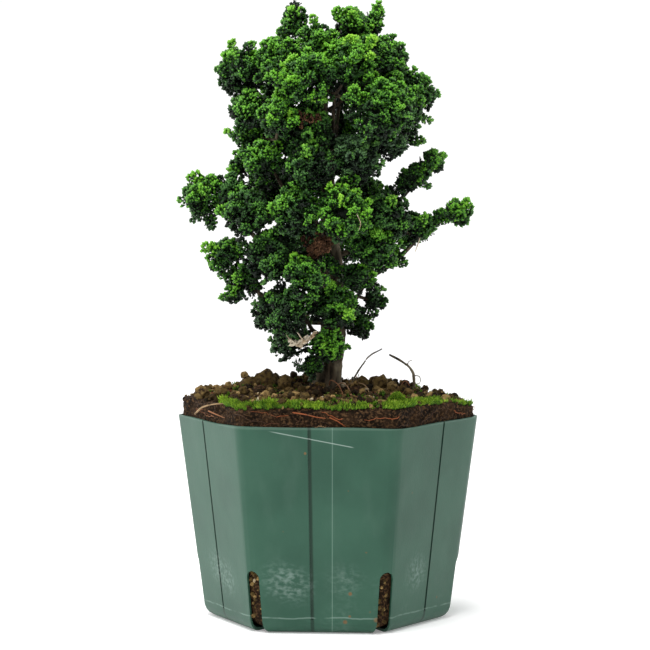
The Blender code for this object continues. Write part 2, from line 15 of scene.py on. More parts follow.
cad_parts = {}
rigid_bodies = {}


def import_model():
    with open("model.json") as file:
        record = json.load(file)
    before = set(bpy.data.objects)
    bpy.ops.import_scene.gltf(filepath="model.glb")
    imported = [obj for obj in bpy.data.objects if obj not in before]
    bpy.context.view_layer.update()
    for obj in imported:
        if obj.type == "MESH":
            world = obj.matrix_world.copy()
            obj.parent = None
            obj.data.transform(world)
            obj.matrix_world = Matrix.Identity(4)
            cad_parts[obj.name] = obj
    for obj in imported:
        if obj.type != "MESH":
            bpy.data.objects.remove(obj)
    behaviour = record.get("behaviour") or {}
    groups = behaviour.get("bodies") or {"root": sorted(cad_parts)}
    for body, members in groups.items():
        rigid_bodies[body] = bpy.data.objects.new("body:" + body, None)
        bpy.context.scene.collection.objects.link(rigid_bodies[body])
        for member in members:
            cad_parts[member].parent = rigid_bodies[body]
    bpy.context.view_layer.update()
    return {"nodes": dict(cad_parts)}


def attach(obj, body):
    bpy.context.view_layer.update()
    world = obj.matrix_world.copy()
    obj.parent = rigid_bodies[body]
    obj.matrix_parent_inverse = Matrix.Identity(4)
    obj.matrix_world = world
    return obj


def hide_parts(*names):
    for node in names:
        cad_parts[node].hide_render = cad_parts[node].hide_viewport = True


MM = 0.001
BODY = "root"
LOG = logging.getLogger("bonsai")
UP = np.array((0.0, 0.0, 1.0))
POT_TURN = math.radians(-4.0)

Point = tuple[float, float, float]
Line = tuple[Point, ...]
Socket = bpy.types.NodeSocket


def unit(vectors: np.ndarray) -> np.ndarray:
    """Scales vectors to length one.

    Args:
        vectors: One vector or rows of them.

    Returns:
        The same directions with length one.
    """
    return vectors / np.maximum(np.linalg.norm(vectors, axis=-1, keepdims=True), 1e-12)


def smoothstep(low: float, high: float, values: np.ndarray) -> np.ndarray:
    """Eases from 0 at low to 1 at high.

    Args:
        low: Where the result is 0.
        high: Where the result is 1.
        values: The numbers to ease.

    Returns:
        Numbers from 0 to 1.
    """
    share = np.clip((values - low) / (high - low), 0.0, 1.0)
    return share * share * (3.0 - 2.0 * share)


class SpaceNoise:
    """Smooth random values over space, blended from seeded values at the corners of a lattice."""

    def __init__(self, seed: int) -> None:
        """Draws the lattice's values.

        Args:
            seed: Any number; the same number gives the same noise.
        """
        self.values = np.random.default_rng(seed).random(4096)

    def at(self, points: np.ndarray, scale: float) -> np.ndarray:
        """One layer of noise.

        Args:
            points: Rows of x, y, z.
            scale: The lattice's spacing, in the points' unit.

        Returns:
            One value from -1 to 1 for each point.
        """
        cell = np.floor(points / scale)
        inside = points / scale - cell
        inside = inside * inside * (3.0 - 2.0 * inside)
        corner = cell.astype(np.int64)
        total = np.zeros(len(points))
        for step in np.ndindex(2, 2, 2):
            x, y, z = (corner + step).T
            drawn = self.values[(x * 73856093 ^ y * 19349663 ^ z * 83492791) & 4095]
            total += np.prod(np.where(step, inside, 1.0 - inside), axis=1) * drawn
        return 2.0 * total - 1.0

    def layered(self, points: np.ndarray, scale: float, layers: int = 3) -> np.ndarray:
        """Several layers of noise, each half as wide and half as strong as the last.

        Args:
            points: Rows of x, y, z.
            scale: The widest layer's spacing.
            layers: How many layers.

        Returns:
            One value for each point, mostly from -1 to 1.
        """
        return sum(self.at(points + 7.3 * k, scale / 2**k) / 2**k for k in range(layers)) / 1.5


@dataclass
class Shell:
    """Points, triangles and three shading values a point, of a mesh in the making."""

    points: np.ndarray
    triangles: np.ndarray
    values: np.ndarray

    @staticmethod
    def joined(shells: list["Shell"]) -> "Shell":
        """Puts several shells in one.

        Args:
            shells: The shells, which may overlap.

        Returns:
            One shell that holds them all.
        """
        starts = np.cumsum([0] + [len(shell.points) for shell in shells[:-1]])
        return Shell(
            np.concatenate([shell.points for shell in shells]),
            np.concatenate([shell.triangles + start for shell, start in zip(shells, starts)]),
            np.concatenate([shell.values for shell in shells]),
        )

    def copies(self, frames: np.ndarray, places: np.ndarray, values: np.ndarray) -> "Shell":
        """Copies the shell to many places.

        Args:
            frames: One 3 by 3 matrix a copy, whose columns are where X, Y and Z go.
            places: One point a copy, where the origin goes.
            values: One row of three a copy, added to the shell's own values.

        Returns:
            One shell that holds all the copies.
        """
        count, size = len(places), len(self.points)
        points = np.einsum("nij,pj->npi", frames, self.points) + places[:, None, :]
        triangles = self.triangles[None] + size * np.arange(count)[:, None, None]
        shades = self.values[None] + values[:, None, :]
        return Shell(points.reshape(-1, 3), triangles.reshape(-1, 3), shades.reshape(-1, 3))

    def make_object(self, name: str, material: bpy.types.Material, smooth: bool = True) -> bpy.types.Object:
        """Turns the shell into an object that rides on the part.

        Args:
            name: The piece's name.
            material: Its material.
            smooth: Whether its faces are shaded smooth.

        Returns:
            The new object, at the origin.
        """
        mesh = bpy.data.meshes.new(name)
        mesh.vertices.add(len(self.points))
        mesh.vertices.foreach_set("co", self.points.astype(np.float32).ravel())
        mesh.loops.add(3 * len(self.triangles))
        mesh.loops.foreach_set("vertex_index", self.triangles.astype(np.int32).ravel())
        mesh.polygons.add(len(self.triangles))
        mesh.polygons.foreach_set("loop_start", np.arange(0, 3 * len(self.triangles), 3, dtype=np.int32))
        mesh.update(calc_edges=True)
        mesh.validate()
        mesh.polygons.foreach_set("use_smooth", np.full(len(mesh.polygons), smooth))
        layer = mesh.attributes.new("shading", "FLOAT_VECTOR", "POINT")
        layer.data.foreach_set("vector", self.values.astype(np.float32).ravel())
        mesh.materials.append(material)
        made = bpy.data.objects.new(name, mesh)
        bpy.context.scene.collection.objects.link(made)
        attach(made, BODY)
        LOG.info("%s: %d triangles", name, len(mesh.polygons))
        return made


def sleeve_faces(rows: int, sides: int) -> np.ndarray:
    """The triangles between rings of points.

    Args:
        rows: How many rings there are.
        sides: How many points a ring has.

    Returns:
        Rows of three point numbers, facing out where each ring turns left and lies above the last.
    """
    ring, start = np.arange(sides)[None], np.arange(rows - 1)[:, None] * sides
    here, after = start + ring, start + (ring + 1) % sides
    first = np.stack([here, after, after + sides], axis=2)
    second = np.stack([here, after + sides, here + sides], axis=2)
    return np.concatenate([first.reshape(-1, 3), second.reshape(-1, 3)])


def tube(points: np.ndarray, radii: np.ndarray, sides: int, shade: float) -> Shell:
    """A round tube along a line, with closed ends.

    Args:
        points: The line's points, in order.
        radii: The tube's radius at each point.
        sides: How many sides it has.
        shade: Its second shading value. The first runs from 0 to 1 along the line.

    Returns:
        The tube.
    """
    along = unit(np.gradient(points, axis=0))
    guide = np.where(np.abs(along[:, 2:]) > 0.8, (1.0, 0.0, 0.0), (0.0, 0.0, 1.0))
    side = unit(np.cross(guide, along))
    other = np.cross(along, side)
    turn = math.tau * np.arange(sides) / sides
    ring = side[:, None] * np.cos(turn)[None, :, None] + other[:, None] * np.sin(turn)[None, :, None]
    body = (points[:, None] + ring * radii[:, None, None]).reshape(-1, 3)
    rows, here = len(points), np.arange(sides)
    after, last = (here + 1) % sides, (rows - 1) * sides
    foot = np.stack([np.full(sides, rows * sides), after, here], axis=1)
    end = np.stack([np.full(sides, rows * sides + 1), last + here, last + after], axis=1)
    values = np.tile((0.0, shade, 0.0), (len(body) + 2, 1))
    values[:-2, 0] = np.repeat(np.linspace(0.0, 1.0, rows), sides)
    values[-1, 0] = 1.0
    return Shell(np.concatenate([body, points[:1], points[-1:]]),
                 np.concatenate([sleeve_faces(rows, sides), foot, end]), values)


def smooth_line(points: np.ndarray, steps: int) -> np.ndarray:
    """A smooth line that passes through rows of numbers, as a cubic curve between each two.

    Args:
        points: Rows to pass through, of any width.
        steps: How many rows the line has.

    Returns:
        The line's rows.
    """
    padded = np.concatenate([2 * points[:1] - points[1:2], points, 2 * points[-1:] - points[-2:-1]])
    place = np.linspace(0, len(points) - 1 - 1e-9, steps)
    index = place.astype(int)
    t = (place - index)[:, None]
    a, b, c, d = (padded[index + k] for k in range(4))
    return 0.5 * (2 * b + (c - a) * t + (2 * a - 5 * b + 4 * c - d) * t**2 + (3 * b - a - 3 * c + d) * t**3)


def thread(points: Line, steps: int, radii: tuple[float, float], sides: int, shade: float) -> Shell:
    """A smooth tapering tube through a few places.

    Args:
        points: The places, in mm.
        steps: How many rings it has.
        radii: Its radius at either end, in mm.
        sides: How many sides it has.
        shade: Its second shading value.

    Returns:
        The tube.
    """
    line = smooth_line(np.array(points, float), steps)
    return tube(line * MM, np.linspace(*radii, steps) * MM, sides, shade)


def scattered(shapes: list[Shell], pick: np.ndarray, frames: np.ndarray, places: np.ndarray,
              values: np.ndarray) -> list[Shell]:
    """Copies of several shapes.

    Args:
        shapes: The shapes.
        pick: For each copy the number of its shape.
        frames: For each copy a 3 by 3 matrix.
        places: For each copy the place of its origin.
        values: For each copy what its shading values gain.

    Returns:
        A shell for each shape that was picked.
    """
    chosen = [(shape, pick == k) for k, shape in enumerate(shapes)]
    return [shape.copies(frames[mine], places[mine], values[mine]) for shape, mine in chosen if mine.any()]


class Tone(Enum):
    """How a spray looks in the photograph: its lift in brightness and its share of grey-blue. The lift is
    partly the spray's own colour and partly painted light and shade, lighter in front and on top and darker at
    the back and in the heart.
    """

    BRIGHT = (0.17, 0.0)
    FRESH = (0.10, 0.05)
    PLAIN = (0.0, 0.12)
    SHADED = (-0.12, 0.3)
    GREY = (0.05, 0.95)


# Painted light and shade by spray: the bright ones stand in front and on top, the shaded ones at the back and
# in the heart. The grey is the sprays' own colour.
TONES: dict[Tone, str] = {
    Tone.BRIGHT: "crown_front crown_front_right front_tuft left_bright front_bright",
    Tone.FRESH: "crown_top crown_left apex_left apex_middle apex_right far_left far_right middle_right"
                " right_shoulder_low right_low_bright front_low",
    Tone.SHADED: "crown_right_back heart_upper heart right_inner left_heart right_foot",
    Tone.GREY: "right_under heart_right left_foot skirt_left",
}


def tone_of(name: str) -> Tone:
    """Finds a spray's tone.

    Args:
        name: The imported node's name.

    Returns:
        Its tone, plain where the table doesn't name it.
    """
    short = name.removeprefix("spray_")
    return next((tone for tone, names in TONES.items() if short in names.split()), Tone.PLAIN)


@dataclass(frozen=True)
class Finish:
    """A surface's main numbers: roughness, mirror strength and bump depth."""

    roughness: float
    specular: float
    bump: float = 0.0
    bump_distance: float = 0.0002


class Sheet:
    """Lays out and links nodes in a material's tree or in a node group."""

    def __init__(self, tree: bpy.types.NodeTree) -> None:
        """Keeps the tree.

        Args:
            tree: Where the nodes go.
        """
        self.tree = tree

    def put(self, source: object, target: Socket) -> None:
        """Sets a socket to a constant or links another socket to it.

        Args:
            source: A number, a colour or an output socket.
            target: The input socket.
        """
        if isinstance(source, Socket):
            self.tree.links.new(source, target)
        else:
            target.default_value = (*source, 1.0) if target.type == "RGBA" else source

    def maths(self, operation: str, first: object, second: object = 0.0, clamp: bool = False) -> Socket:
        """Works out one number from two.

        Args:
            operation: The math node's operation.
            first: A number or socket.
            second: A number or socket.
            clamp: Whether the result stays from 0 to 1.

        Returns:
            The result's socket.
        """
        node = self.tree.nodes.new("ShaderNodeMath")
        node.operation = operation
        node.use_clamp = clamp
        self.put(first, node.inputs[0])
        self.put(second, node.inputs[1])
        return node.outputs[0]

    def times(self, *factors: object) -> Socket:
        """Multiplies numbers.

        Args:
            factors: Two or more numbers or sockets.

        Returns:
            The product's socket.
        """
        product = factors[0]
        for factor in factors[1:]:
            product = self.maths("MULTIPLY", product, factor)
        return product

    def gap(self, first: object, second: object) -> Socket:
        """How far two numbers lie apart.

        Args:
            first: A number or socket.
            second: A number or socket.

        Returns:
            The difference's socket, never below 0.
        """
        return self.maths("ABSOLUTE", self.maths("SUBTRACT", first, second))

    def split(self, vector: Socket) -> tuple[Socket, Socket, Socket]:
        """Takes a vector apart.

        Args:
            vector: The vector's socket.

        Returns:
            One socket for each of its numbers.
        """
        node = self.tree.nodes.new("ShaderNodeSeparateXYZ")
        self.put(vector, node.inputs[0])
        return tuple(node.outputs)

    def mix(self, share: object, first: object, second: object) -> Socket:
        """Mixes two colours.

        Args:
            share: 0 gives the first colour and 1 the second.
            first: A colour or socket.
            second: A colour or socket.

        Returns:
            The mixed colour's socket.
        """
        node = self.tree.nodes.new("ShaderNodeMix")
        node.data_type = "RGBA"
        self.put(share, node.inputs[0])
        self.put(first, node.inputs[6])
        self.put(second, node.inputs[7])
        return node.outputs[2]

    def ease(self, value: object, low: float, high: float) -> Socket:
        """Maps a value smoothly to 0 at low and 1 at high.

        Args:
            value: A socket.
            low: Where the result is 0. It may be above high.
            high: Where the result is 1.

        Returns:
            The result's socket.
        """
        node = self.tree.nodes.new("ShaderNodeMapRange")
        node.interpolation_type = "SMOOTHSTEP"
        self.put(value, node.inputs["Value"])
        node.inputs["From Min"].default_value = min(low, high)
        node.inputs["From Max"].default_value = max(low, high)
        node.inputs["To Min"].default_value = 0.0 if low < high else 1.0
        node.inputs["To Max"].default_value = 1.0 if low < high else 0.0
        return node.outputs["Result"]


class Graph(Sheet):
    """Builds one procedural material."""

    def __init__(self, name: str, finish: Finish) -> None:
        """Starts a material with its shader.

        Args:
            name: The material's name.
            finish: Its constants.
        """
        self.material = bpy.data.materials.new(name)
        self.material.use_nodes = True
        super().__init__(self.material.node_tree)
        self.shader = self.tree.nodes["Principled BSDF"]
        self.shader.inputs["Roughness"].default_value = finish.roughness
        self.shader.inputs["Specular IOR Level"].default_value = finish.specular
        self.finish = finish
        self.place = self.tree.nodes.new("ShaderNodeTexCoord").outputs["Object"]

    def noise(self, scale: float, detail: float = 4.0, stretch: Point = (1, 1, 1)) -> Socket:
        """Cloudy noise, about 0.5 on average.

        Args:
            scale: Cells in a metre.
            detail: How much finer noise is in it.
            stretch: How many times finer it is along X, Y and Z.

        Returns:
            The noise value's socket.
        """
        mapping = self.tree.nodes.new("ShaderNodeMapping")
        mapping.inputs["Scale"].default_value = stretch
        self.put(self.place, mapping.inputs["Vector"])
        node = self.tree.nodes.new("ShaderNodeTexNoise")
        node.inputs["Scale"].default_value = scale
        node.inputs["Detail"].default_value = detail
        self.put(mapping.outputs[0], node.inputs["Vector"])
        return node.outputs["Fac"]

    def cells(self, scale: float, output: str = "Distance") -> Socket:
        """A pattern of cells.

        Args:
            scale: Cells in a metre.
            output: Which of the pattern's outputs to give.

        Returns:
            That output's socket.
        """
        node = self.tree.nodes.new("ShaderNodeTexVoronoi")
        node.inputs["Scale"].default_value = scale
        self.put(self.place, node.inputs["Vector"])
        return node.outputs[output]

    def shading(self) -> tuple[Socket, Socket, Socket]:
        """The three shading values stored in the mesh.

        Returns:
            One socket for each value.
        """
        source = self.tree.nodes.new("ShaderNodeAttribute")
        source.attribute_name = "shading"
        return self.split(source.outputs["Vector"])

    def apart_from(self, place: Point) -> Socket:
        """The distance from a fixed place.

        Args:
            place: The place, in metres.

        Returns:
            The distance's socket.
        """
        node = self.tree.nodes.new("ShaderNodeVectorMath")
        node.operation = "DISTANCE"
        self.put(self.place, node.inputs[0])
        node.inputs[1].default_value = place
        return node.outputs["Value"]

    def layered(self, colour: object, *layers: tuple[Socket, float, float, Point]) -> Socket:
        """Lays colours over a first one, each where a value of its own rises.

        Args:
            colour: The lowest colour.
            layers: For each further colour the value, where its rise starts and ends, and the colour.

        Returns:
            The mixed colour's socket.
        """
        for value, low, high, tint in layers:
            colour = self.mix(self.ease(value, low, high), colour, tint)
        return colour

    def finished(self, colour: object, height: object = None, roughness: object = None) -> bpy.types.Material:
        """Connects the colour, relief and roughness to the shader.

        Args:
            colour: A colour socket.
            height: A value socket for the bump, if any.
            roughness: A value socket, where it varies.

        Returns:
            The material.
        """
        self.put(colour, self.shader.inputs["Base Color"])
        if roughness is not None:
            self.put(roughness, self.shader.inputs["Roughness"])
        if height is not None:
            bump = self.tree.nodes.new("ShaderNodeBump")
            bump.inputs["Strength"].default_value = self.finish.bump
            bump.inputs["Distance"].default_value = self.finish.bump_distance
            self.put(height, bump.inputs["Height"])
            self.put(bump.outputs[0], self.shader.inputs["Normal"])
        return self.material


class Materials:
    """The finishes of the leaves, wood, soil, moss and roots."""

    @staticmethod
    def leaves() -> bpy.types.Material:
        """Waxy scale leaves: near black inside, deep green, then yellow-green at the tips. The near black is
        painted shade; the yellow-green tips are their own fresh colour, lifted by painted light.

        Returns:
            The material. Its shading values are the age along a shoot, the lift and the grey share. The low
            ages and the lift carry painted light and shade.
        """
        graph = Graph("leaves_green", Finish(0.52, 0.24, 0.5, 0.0003))
        growth, lift, grey = graph.shading()
        patch = graph.times(graph.maths("SUBTRACT", graph.noise(55.0, 3.0), 0.5), 0.9)
        fresh = graph.maths("ADD", graph.maths("ADD", growth, lift), patch)
        # Near black for low values, at the fans' feet and deep in the sprays, is painted shade; the top layers
        # give the tips their own yellow-green, lifted further where the lift paints light.
        colour = graph.layered((0.002, 0.007, 0.002), (fresh, 0.10, 0.70, (0.022, 0.090, 0.010)),
                               (fresh, 0.62, 1.08, (0.122, 0.372, 0.018)),
                               (fresh, 1.08, 1.48, (0.250, 0.520, 0.036)))
        dull = graph.layered((0.008, 0.015, 0.009), (fresh, 0.2, 1.0, (0.075, 0.135, 0.075)))
        return graph.finished(graph.mix(graph.times(grey, 0.85), colour, dull), graph.cells(1100.0))

    @staticmethod
    def dead_leaves() -> bpy.types.Material:
        """Dry scale leaves in red brown and straw.

        Returns:
            The material.
        """
        graph = Graph("leaves_dead", Finish(0.85, 0.15, 0.5, 0.0003))
        patch = graph.maths("ADD", graph.noise(160.0), graph.times(graph.shading()[0], 0.25))
        colour = graph.layered((0.030, 0.013, 0.007), (patch, 0.45, 0.85, (0.165, 0.082, 0.042)))
        return graph.finished(colour, graph.cells(1000.0))

    @staticmethod
    def bark() -> bpy.types.Material:
        """Grey-brown bark with darker cracks along the stem and a little green algae.

        Returns:
            The material.
        """
        graph = Graph("bark_rough", Finish(0.9, 0.15, 1.0, 0.0008))
        fibres = graph.noise(420.0, 6.0, (1.0, 1.0, 0.16))
        flakes = graph.noise(90.0, 5.0, (1.0, 1.0, 0.45))
        colour = graph.layered((0.014, 0.011, 0.008), (fibres, 0.36, 0.66, (0.118, 0.090, 0.058)),
                               (flakes, 0.52, 0.70, (0.230, 0.195, 0.130)),
                               (graph.noise(45.0), 0.60, 0.78, (0.045, 0.065, 0.022)))
        return graph.finished(colour, graph.maths("ADD", fibres, flakes))

    @staticmethod
    def soil() -> bpy.types.Material:
        """Dark gritty soil held by fibrous roots.

        Returns:
            The material.
        """
        graph = Graph("soil_gritty", Finish(0.95, 0.1, 1.0, 0.0012))
        crumbs, patches = graph.noise(650.0, 6.0), graph.noise(110.0, 5.0)
        fibres = graph.noise(300.0, 8.0, (1.0, 1.0, 4.0))
        colour = graph.layered((0.008, 0.005, 0.003), (patches, 0.35, 0.68, (0.030, 0.016, 0.008)),
                               (crumbs, 0.47, 0.68, (0.092, 0.050, 0.023)),
                               (fibres, 0.60, 0.72, (0.110, 0.060, 0.030)))
        return graph.finished(colour, crumbs)

    @staticmethod
    def grains() -> bpy.types.Material:
        """Clay grains and grit, each with its own shade.

        Returns:
            The material. Its second shading value picks the grain's shade.
        """
        graph = Graph("soil_grains", Finish(0.95, 0.08, 1.0, 0.0011))
        pick, dirt = graph.shading()[1], graph.noise(500.0, 5.0)
        colour = graph.layered((0.012, 0.009, 0.005), (pick, 0.05, 0.55, (0.100, 0.066, 0.022)),
                               (pick, 0.60, 0.92, (0.310, 0.205, 0.080)),
                               (pick, 0.965, 0.99, (0.560, 0.480, 0.330)),
                               (dirt, 0.42, 0.70, (0.030, 0.018, 0.010)))
        return graph.finished(colour, dirt)

    @staticmethod
    def moss() -> bpy.types.Material:
        """Moss, dark at the foot and bright yellow-green at the tips.

        Returns:
            The material.
        """
        graph = Graph("moss_blades", Finish(0.7, 0.2))
        growth, lift, _ = graph.shading()
        fresh = graph.maths("ADD", growth, lift)
        return graph.finished(graph.layered((0.012, 0.024, 0.004), (fresh, 0.0, 0.6, (0.080, 0.190, 0.012)),
                                            (fresh, 0.6, 1.25, (0.340, 0.520, 0.040))))

    @staticmethod
    def roots() -> bpy.types.Material:
        """Fine roots, from red-brown to straw.

        Returns:
            The material. Its second shading value picks the root's shade.
        """
        graph = Graph("roots_fine", Finish(0.75, 0.25, 0.6, 0.0003))
        pick, ends = graph.shading()[1], graph.noise(300.0)
        colour = graph.layered((0.050, 0.024, 0.012), (pick, 0.1, 0.5, (0.260, 0.070, 0.022)),
                               (pick, 0.55, 0.95, (0.340, 0.230, 0.120)),
                               (ends, 0.5, 0.8, (0.070, 0.040, 0.022)))
        return graph.finished(colour, ends)

    @staticmethod
    def straw() -> bpy.types.Material:
        """Pale dry plant skin with brown blotches.

        Returns:
            The material.
        """
        graph = Graph("dry_straw", Finish(0.85, 0.2, 0.8, 0.0005))
        blotch = graph.noise(330.0, 6.0)
        colour = graph.layered((0.820, 0.720, 0.560), (blotch, 0.38, 0.66, (0.430, 0.310, 0.190)))
        return graph.finished(colour, graph.noise(900.0, 4.0))


@dataclass(frozen=True)
class PotMarks:
    """Where the pot's marks are, in metres. The grooves' places are shares of a face's width."""

    seam_x: float = 0.0026
    scratch: tuple[tuple[float, float], tuple[float, float]] = ((-0.033, 0.1135), (0.0150, 0.1045))
    groove_shares: tuple[float, ...] = (-0.11, 0.10, 0.12, -0.10, 0.12, -0.11)
    corner_foot: float = 0.0718
    corner_slope: float = 0.1322
    scuff_reach: float = 0.0150
    scuffs: Line = (
        (-0.027, -0.066, 0.030), (-0.018, -0.066, 0.027), (0.010, -0.060, 0.031), (-0.056, -0.034, 0.027),
        (-0.061, -0.022, 0.032), (0.050, -0.045, 0.031), (0.040, 0.052, 0.024), (-0.030, 0.058, 0.028),
    )
    specks: tuple[tuple[Point, float], ...] = (
        ((-0.0267, -0.0700, 0.060), 0.0016), ((0.0124, -0.0660, 0.023), 0.0014),
        ((0.0267, -0.0640, 0.0085), 0.0022), ((0.0096, -0.0645, 0.0070), 0.0018),
        ((-0.0190, -0.0655, 0.016), 0.0012), ((0.0234, -0.0645, 0.013), 0.0013),
    )


class PotPlastic(Graph):
    """Satin green moulded plastic with dust, scuffs, specks, a mould seam and a knife scratch, with painted
    shade in its grooves and a painted highlight above its base.
    """

    def __init__(self, marks: PotMarks) -> None:
        """Starts the material.

        Args:
            marks: Where the marks are.
        """
        super().__init__("pot_plastic_worn", Finish(0.44, 0.22, 0.22, 0.0003))
        self.marks = marks
        self.x, self.y, self.z = self.split(self.place)
        self.front = self.ease(self.y, -0.054, -0.058)

    def groove_shade_group(self) -> bpy.types.NodeTree:
        """A node group that marks the painted shade in the groove of one pot face.

        Its mask is 1 where the point's distance along the face from the groove is under about a millimetre.

        Returns:
            The group.
        """
        group = bpy.data.node_groups.new("groove_line", "ShaderNodeTree")
        group.interface.new_socket("Place", in_out="INPUT", socket_type="NodeSocketVector")
        for name in ("Cosine", "Sine", "Share"):
            group.interface.new_socket(name, in_out="INPUT", socket_type="NodeSocketFloat")
        group.interface.new_socket("Mask", in_out="OUTPUT", socket_type="NodeSocketFloat")
        sheet = Sheet(group)
        source, target = group.nodes.new("NodeGroupInput"), group.nodes.new("NodeGroupOutput")
        x, y, z = sheet.split(source.outputs["Place"])
        cosine, sine, share = (source.outputs[name] for name in ("Cosine", "Sine", "Share"))
        along = sheet.maths("SUBTRACT", sheet.times(y, cosine), sheet.times(x, sine))
        out = sheet.maths("ADD", sheet.times(x, cosine), sheet.times(y, sine))
        corner = sheet.maths("ADD", sheet.times(z, self.marks.corner_slope), self.marks.corner_foot)
        near = sheet.ease(sheet.gap(along, sheet.times(corner, share, 0.5)), 0.0015, 0.0005)
        sheet.put(sheet.times(near, sheet.ease(out, 0.050, 0.056)), target.inputs["Mask"])
        return group

    def groove_shades(self) -> Socket:
        """The painted shade in the grooves of all six faces.

        Returns:
            Their mask.
        """
        group, line = self.groove_shade_group(), 0.0
        for face, share in enumerate(self.marks.groove_shares):
            turn = -math.pi / 2 + math.tau * face / 6 + POT_TURN
            node = self.tree.nodes.new("ShaderNodeGroup")
            node.node_tree = group
            self.put(self.place, node.inputs["Place"])
            for name, value in (("Cosine", math.cos(turn)), ("Sine", math.sin(turn)), ("Share", share)):
                node.inputs[name].default_value = value
            line = self.maths("ADD", line, node.outputs["Mask"], clamp=True)
        return line

    def scuffs(self) -> Socket:
        """Streaky scuffs in patches, and a faint haze near the base.

        Returns:
            Their mask.
        """
        streaks = self.ease(self.noise(520.0, 12.0, (0.6, 1.0, 1.0)), 0.36, 0.74)
        haze = 0.0
        for place in self.marks.scuffs:
            patch = self.ease(self.apart_from(place), self.marks.scuff_reach, 0.0)
            haze = self.maths("ADD", haze, patch, clamp=True)
        low = self.times(self.ease(self.z, 0.055, 0.010), self.ease(self.noise(60.0, 3.0), 0.45, 0.75), 0.22)
        return self.times(self.maths("ADD", haze, low, clamp=True), streaks, 0.32)

    def seam(self) -> Socket:
        """The mould seam down the front.

        Returns:
            Its mask.
        """
        return self.times(self.ease(self.gap(self.x, self.marks.seam_x), 0.00045, 0.0001), self.front)

    def scratch(self) -> Socket:
        """The long straight scratch under the rim.

        Returns:
            Its mask.
        """
        (x0, z0), (x1, z1) = self.marks.scratch
        rise = self.times(self.maths("SUBTRACT", self.x, x0), (z1 - z0) / (x1 - x0))
        near = self.ease(self.gap(self.z, self.maths("ADD", rise, z0)), 0.00042, 0.0001)
        ends = self.times(self.ease(self.x, x0, x0 + 0.006), self.ease(self.x, x1, x1 - 0.003))
        return self.times(near, ends, self.front)

    def base_highlight_and_pale_rim(self) -> Socket:
        """A painted highlight along the top of the rounded base edge, broken in patches, and a paler band at
        the top of the rim.

        Returns:
            Their mask.
        """
        middle = self.maths("ADD", self.times(self.noise(60.0, 3.0), 0.003), 0.0075)
        line = self.times(self.ease(self.gap(self.z, middle), 0.0006, 0.0002),
                          self.ease(self.noise(90.0), 0.36, 0.56))
        return self.maths("ADD", self.times(line, 0.30), self.times(self.ease(self.z, 0.1138, 0.1146), 0.12))

    def specks(self) -> Socket:
        """Crumbs of soil that stick to the plastic.

        Returns:
            Their mask.
        """
        speck = self.times(self.ease(self.cells(105.0), 0.10, 0.06), self.ease(self.noise(40.0), 0.56, 0.62))
        for place, size in self.marks.specks:
            spot = self.ease(self.apart_from(place), size, 0.45 * size)
            speck = self.maths("ADD", speck, spot, clamp=True)
        return speck

    def build(self) -> bpy.types.Material:
        """Lays the marks over the plastic, the lowest first.

        Returns:
            The material.
        """
        colour = self.layered((0.021, 0.073, 0.046), (self.noise(26.0, 5.0), 0.3, 0.7, (0.030, 0.094, 0.060)))
        dust, scuffs = self.noise(70.0, 8.0, (1.0, 1.0, 0.4)), self.scuffs()
        crumbs = self.mix(self.noise(300.0), (0.070, 0.030, 0.010), (0.230, 0.130, 0.050))
        marks = (
            (self.ease(dust, 0.48, 0.80), 0.14, (0.13, 0.19, 0.155)),
            # Painted shade in the grooves of the six faces.
            (self.groove_shades(), 0.80, (0.008, 0.026, 0.016)),
            (scuffs, 1.0, (0.34, 0.44, 0.40)),
            (self.seam(), 0.28, (0.24, 0.37, 0.30)),
            (self.scratch(), 0.50, (0.42, 0.52, 0.47)),
            # A painted highlight above the base and a paler top of the rim.
            (self.base_highlight_and_pale_rim(), 1.0, (0.30, 0.42, 0.36)),
            (self.specks(), 0.85, crumbs),
        )
        for mask, strength, tint in marks:
            colour = self.mix(self.times(mask, strength), colour, tint)
        rough = self.maths("ADD", 0.34, self.times(self.maths("ADD", dust, scuffs), 0.2))
        return self.finished(colour, self.noise(900.0, 3.0), rough)


@dataclass(frozen=True)
class FanSizes:
    """One small leaf fan, in millimetres and degrees."""

    length: float = 8.0
    branch_angle: float = 46.0
    branch_share: float = 0.50
    club_length: float = 3.0
    half_width: float = 1.22
    half_thickness: float = 0.85
    stalk_width: float = 0.55
    branches: tuple[float, ...] = (0.22, 0.42, 0.64)
    tip_turns: tuple[float, ...] = (-34, 0, 34)
    branch_clubs: tuple[tuple[float, float], ...] = ((0.28, 34), (0.72, -16))
    cup: float = 0.05


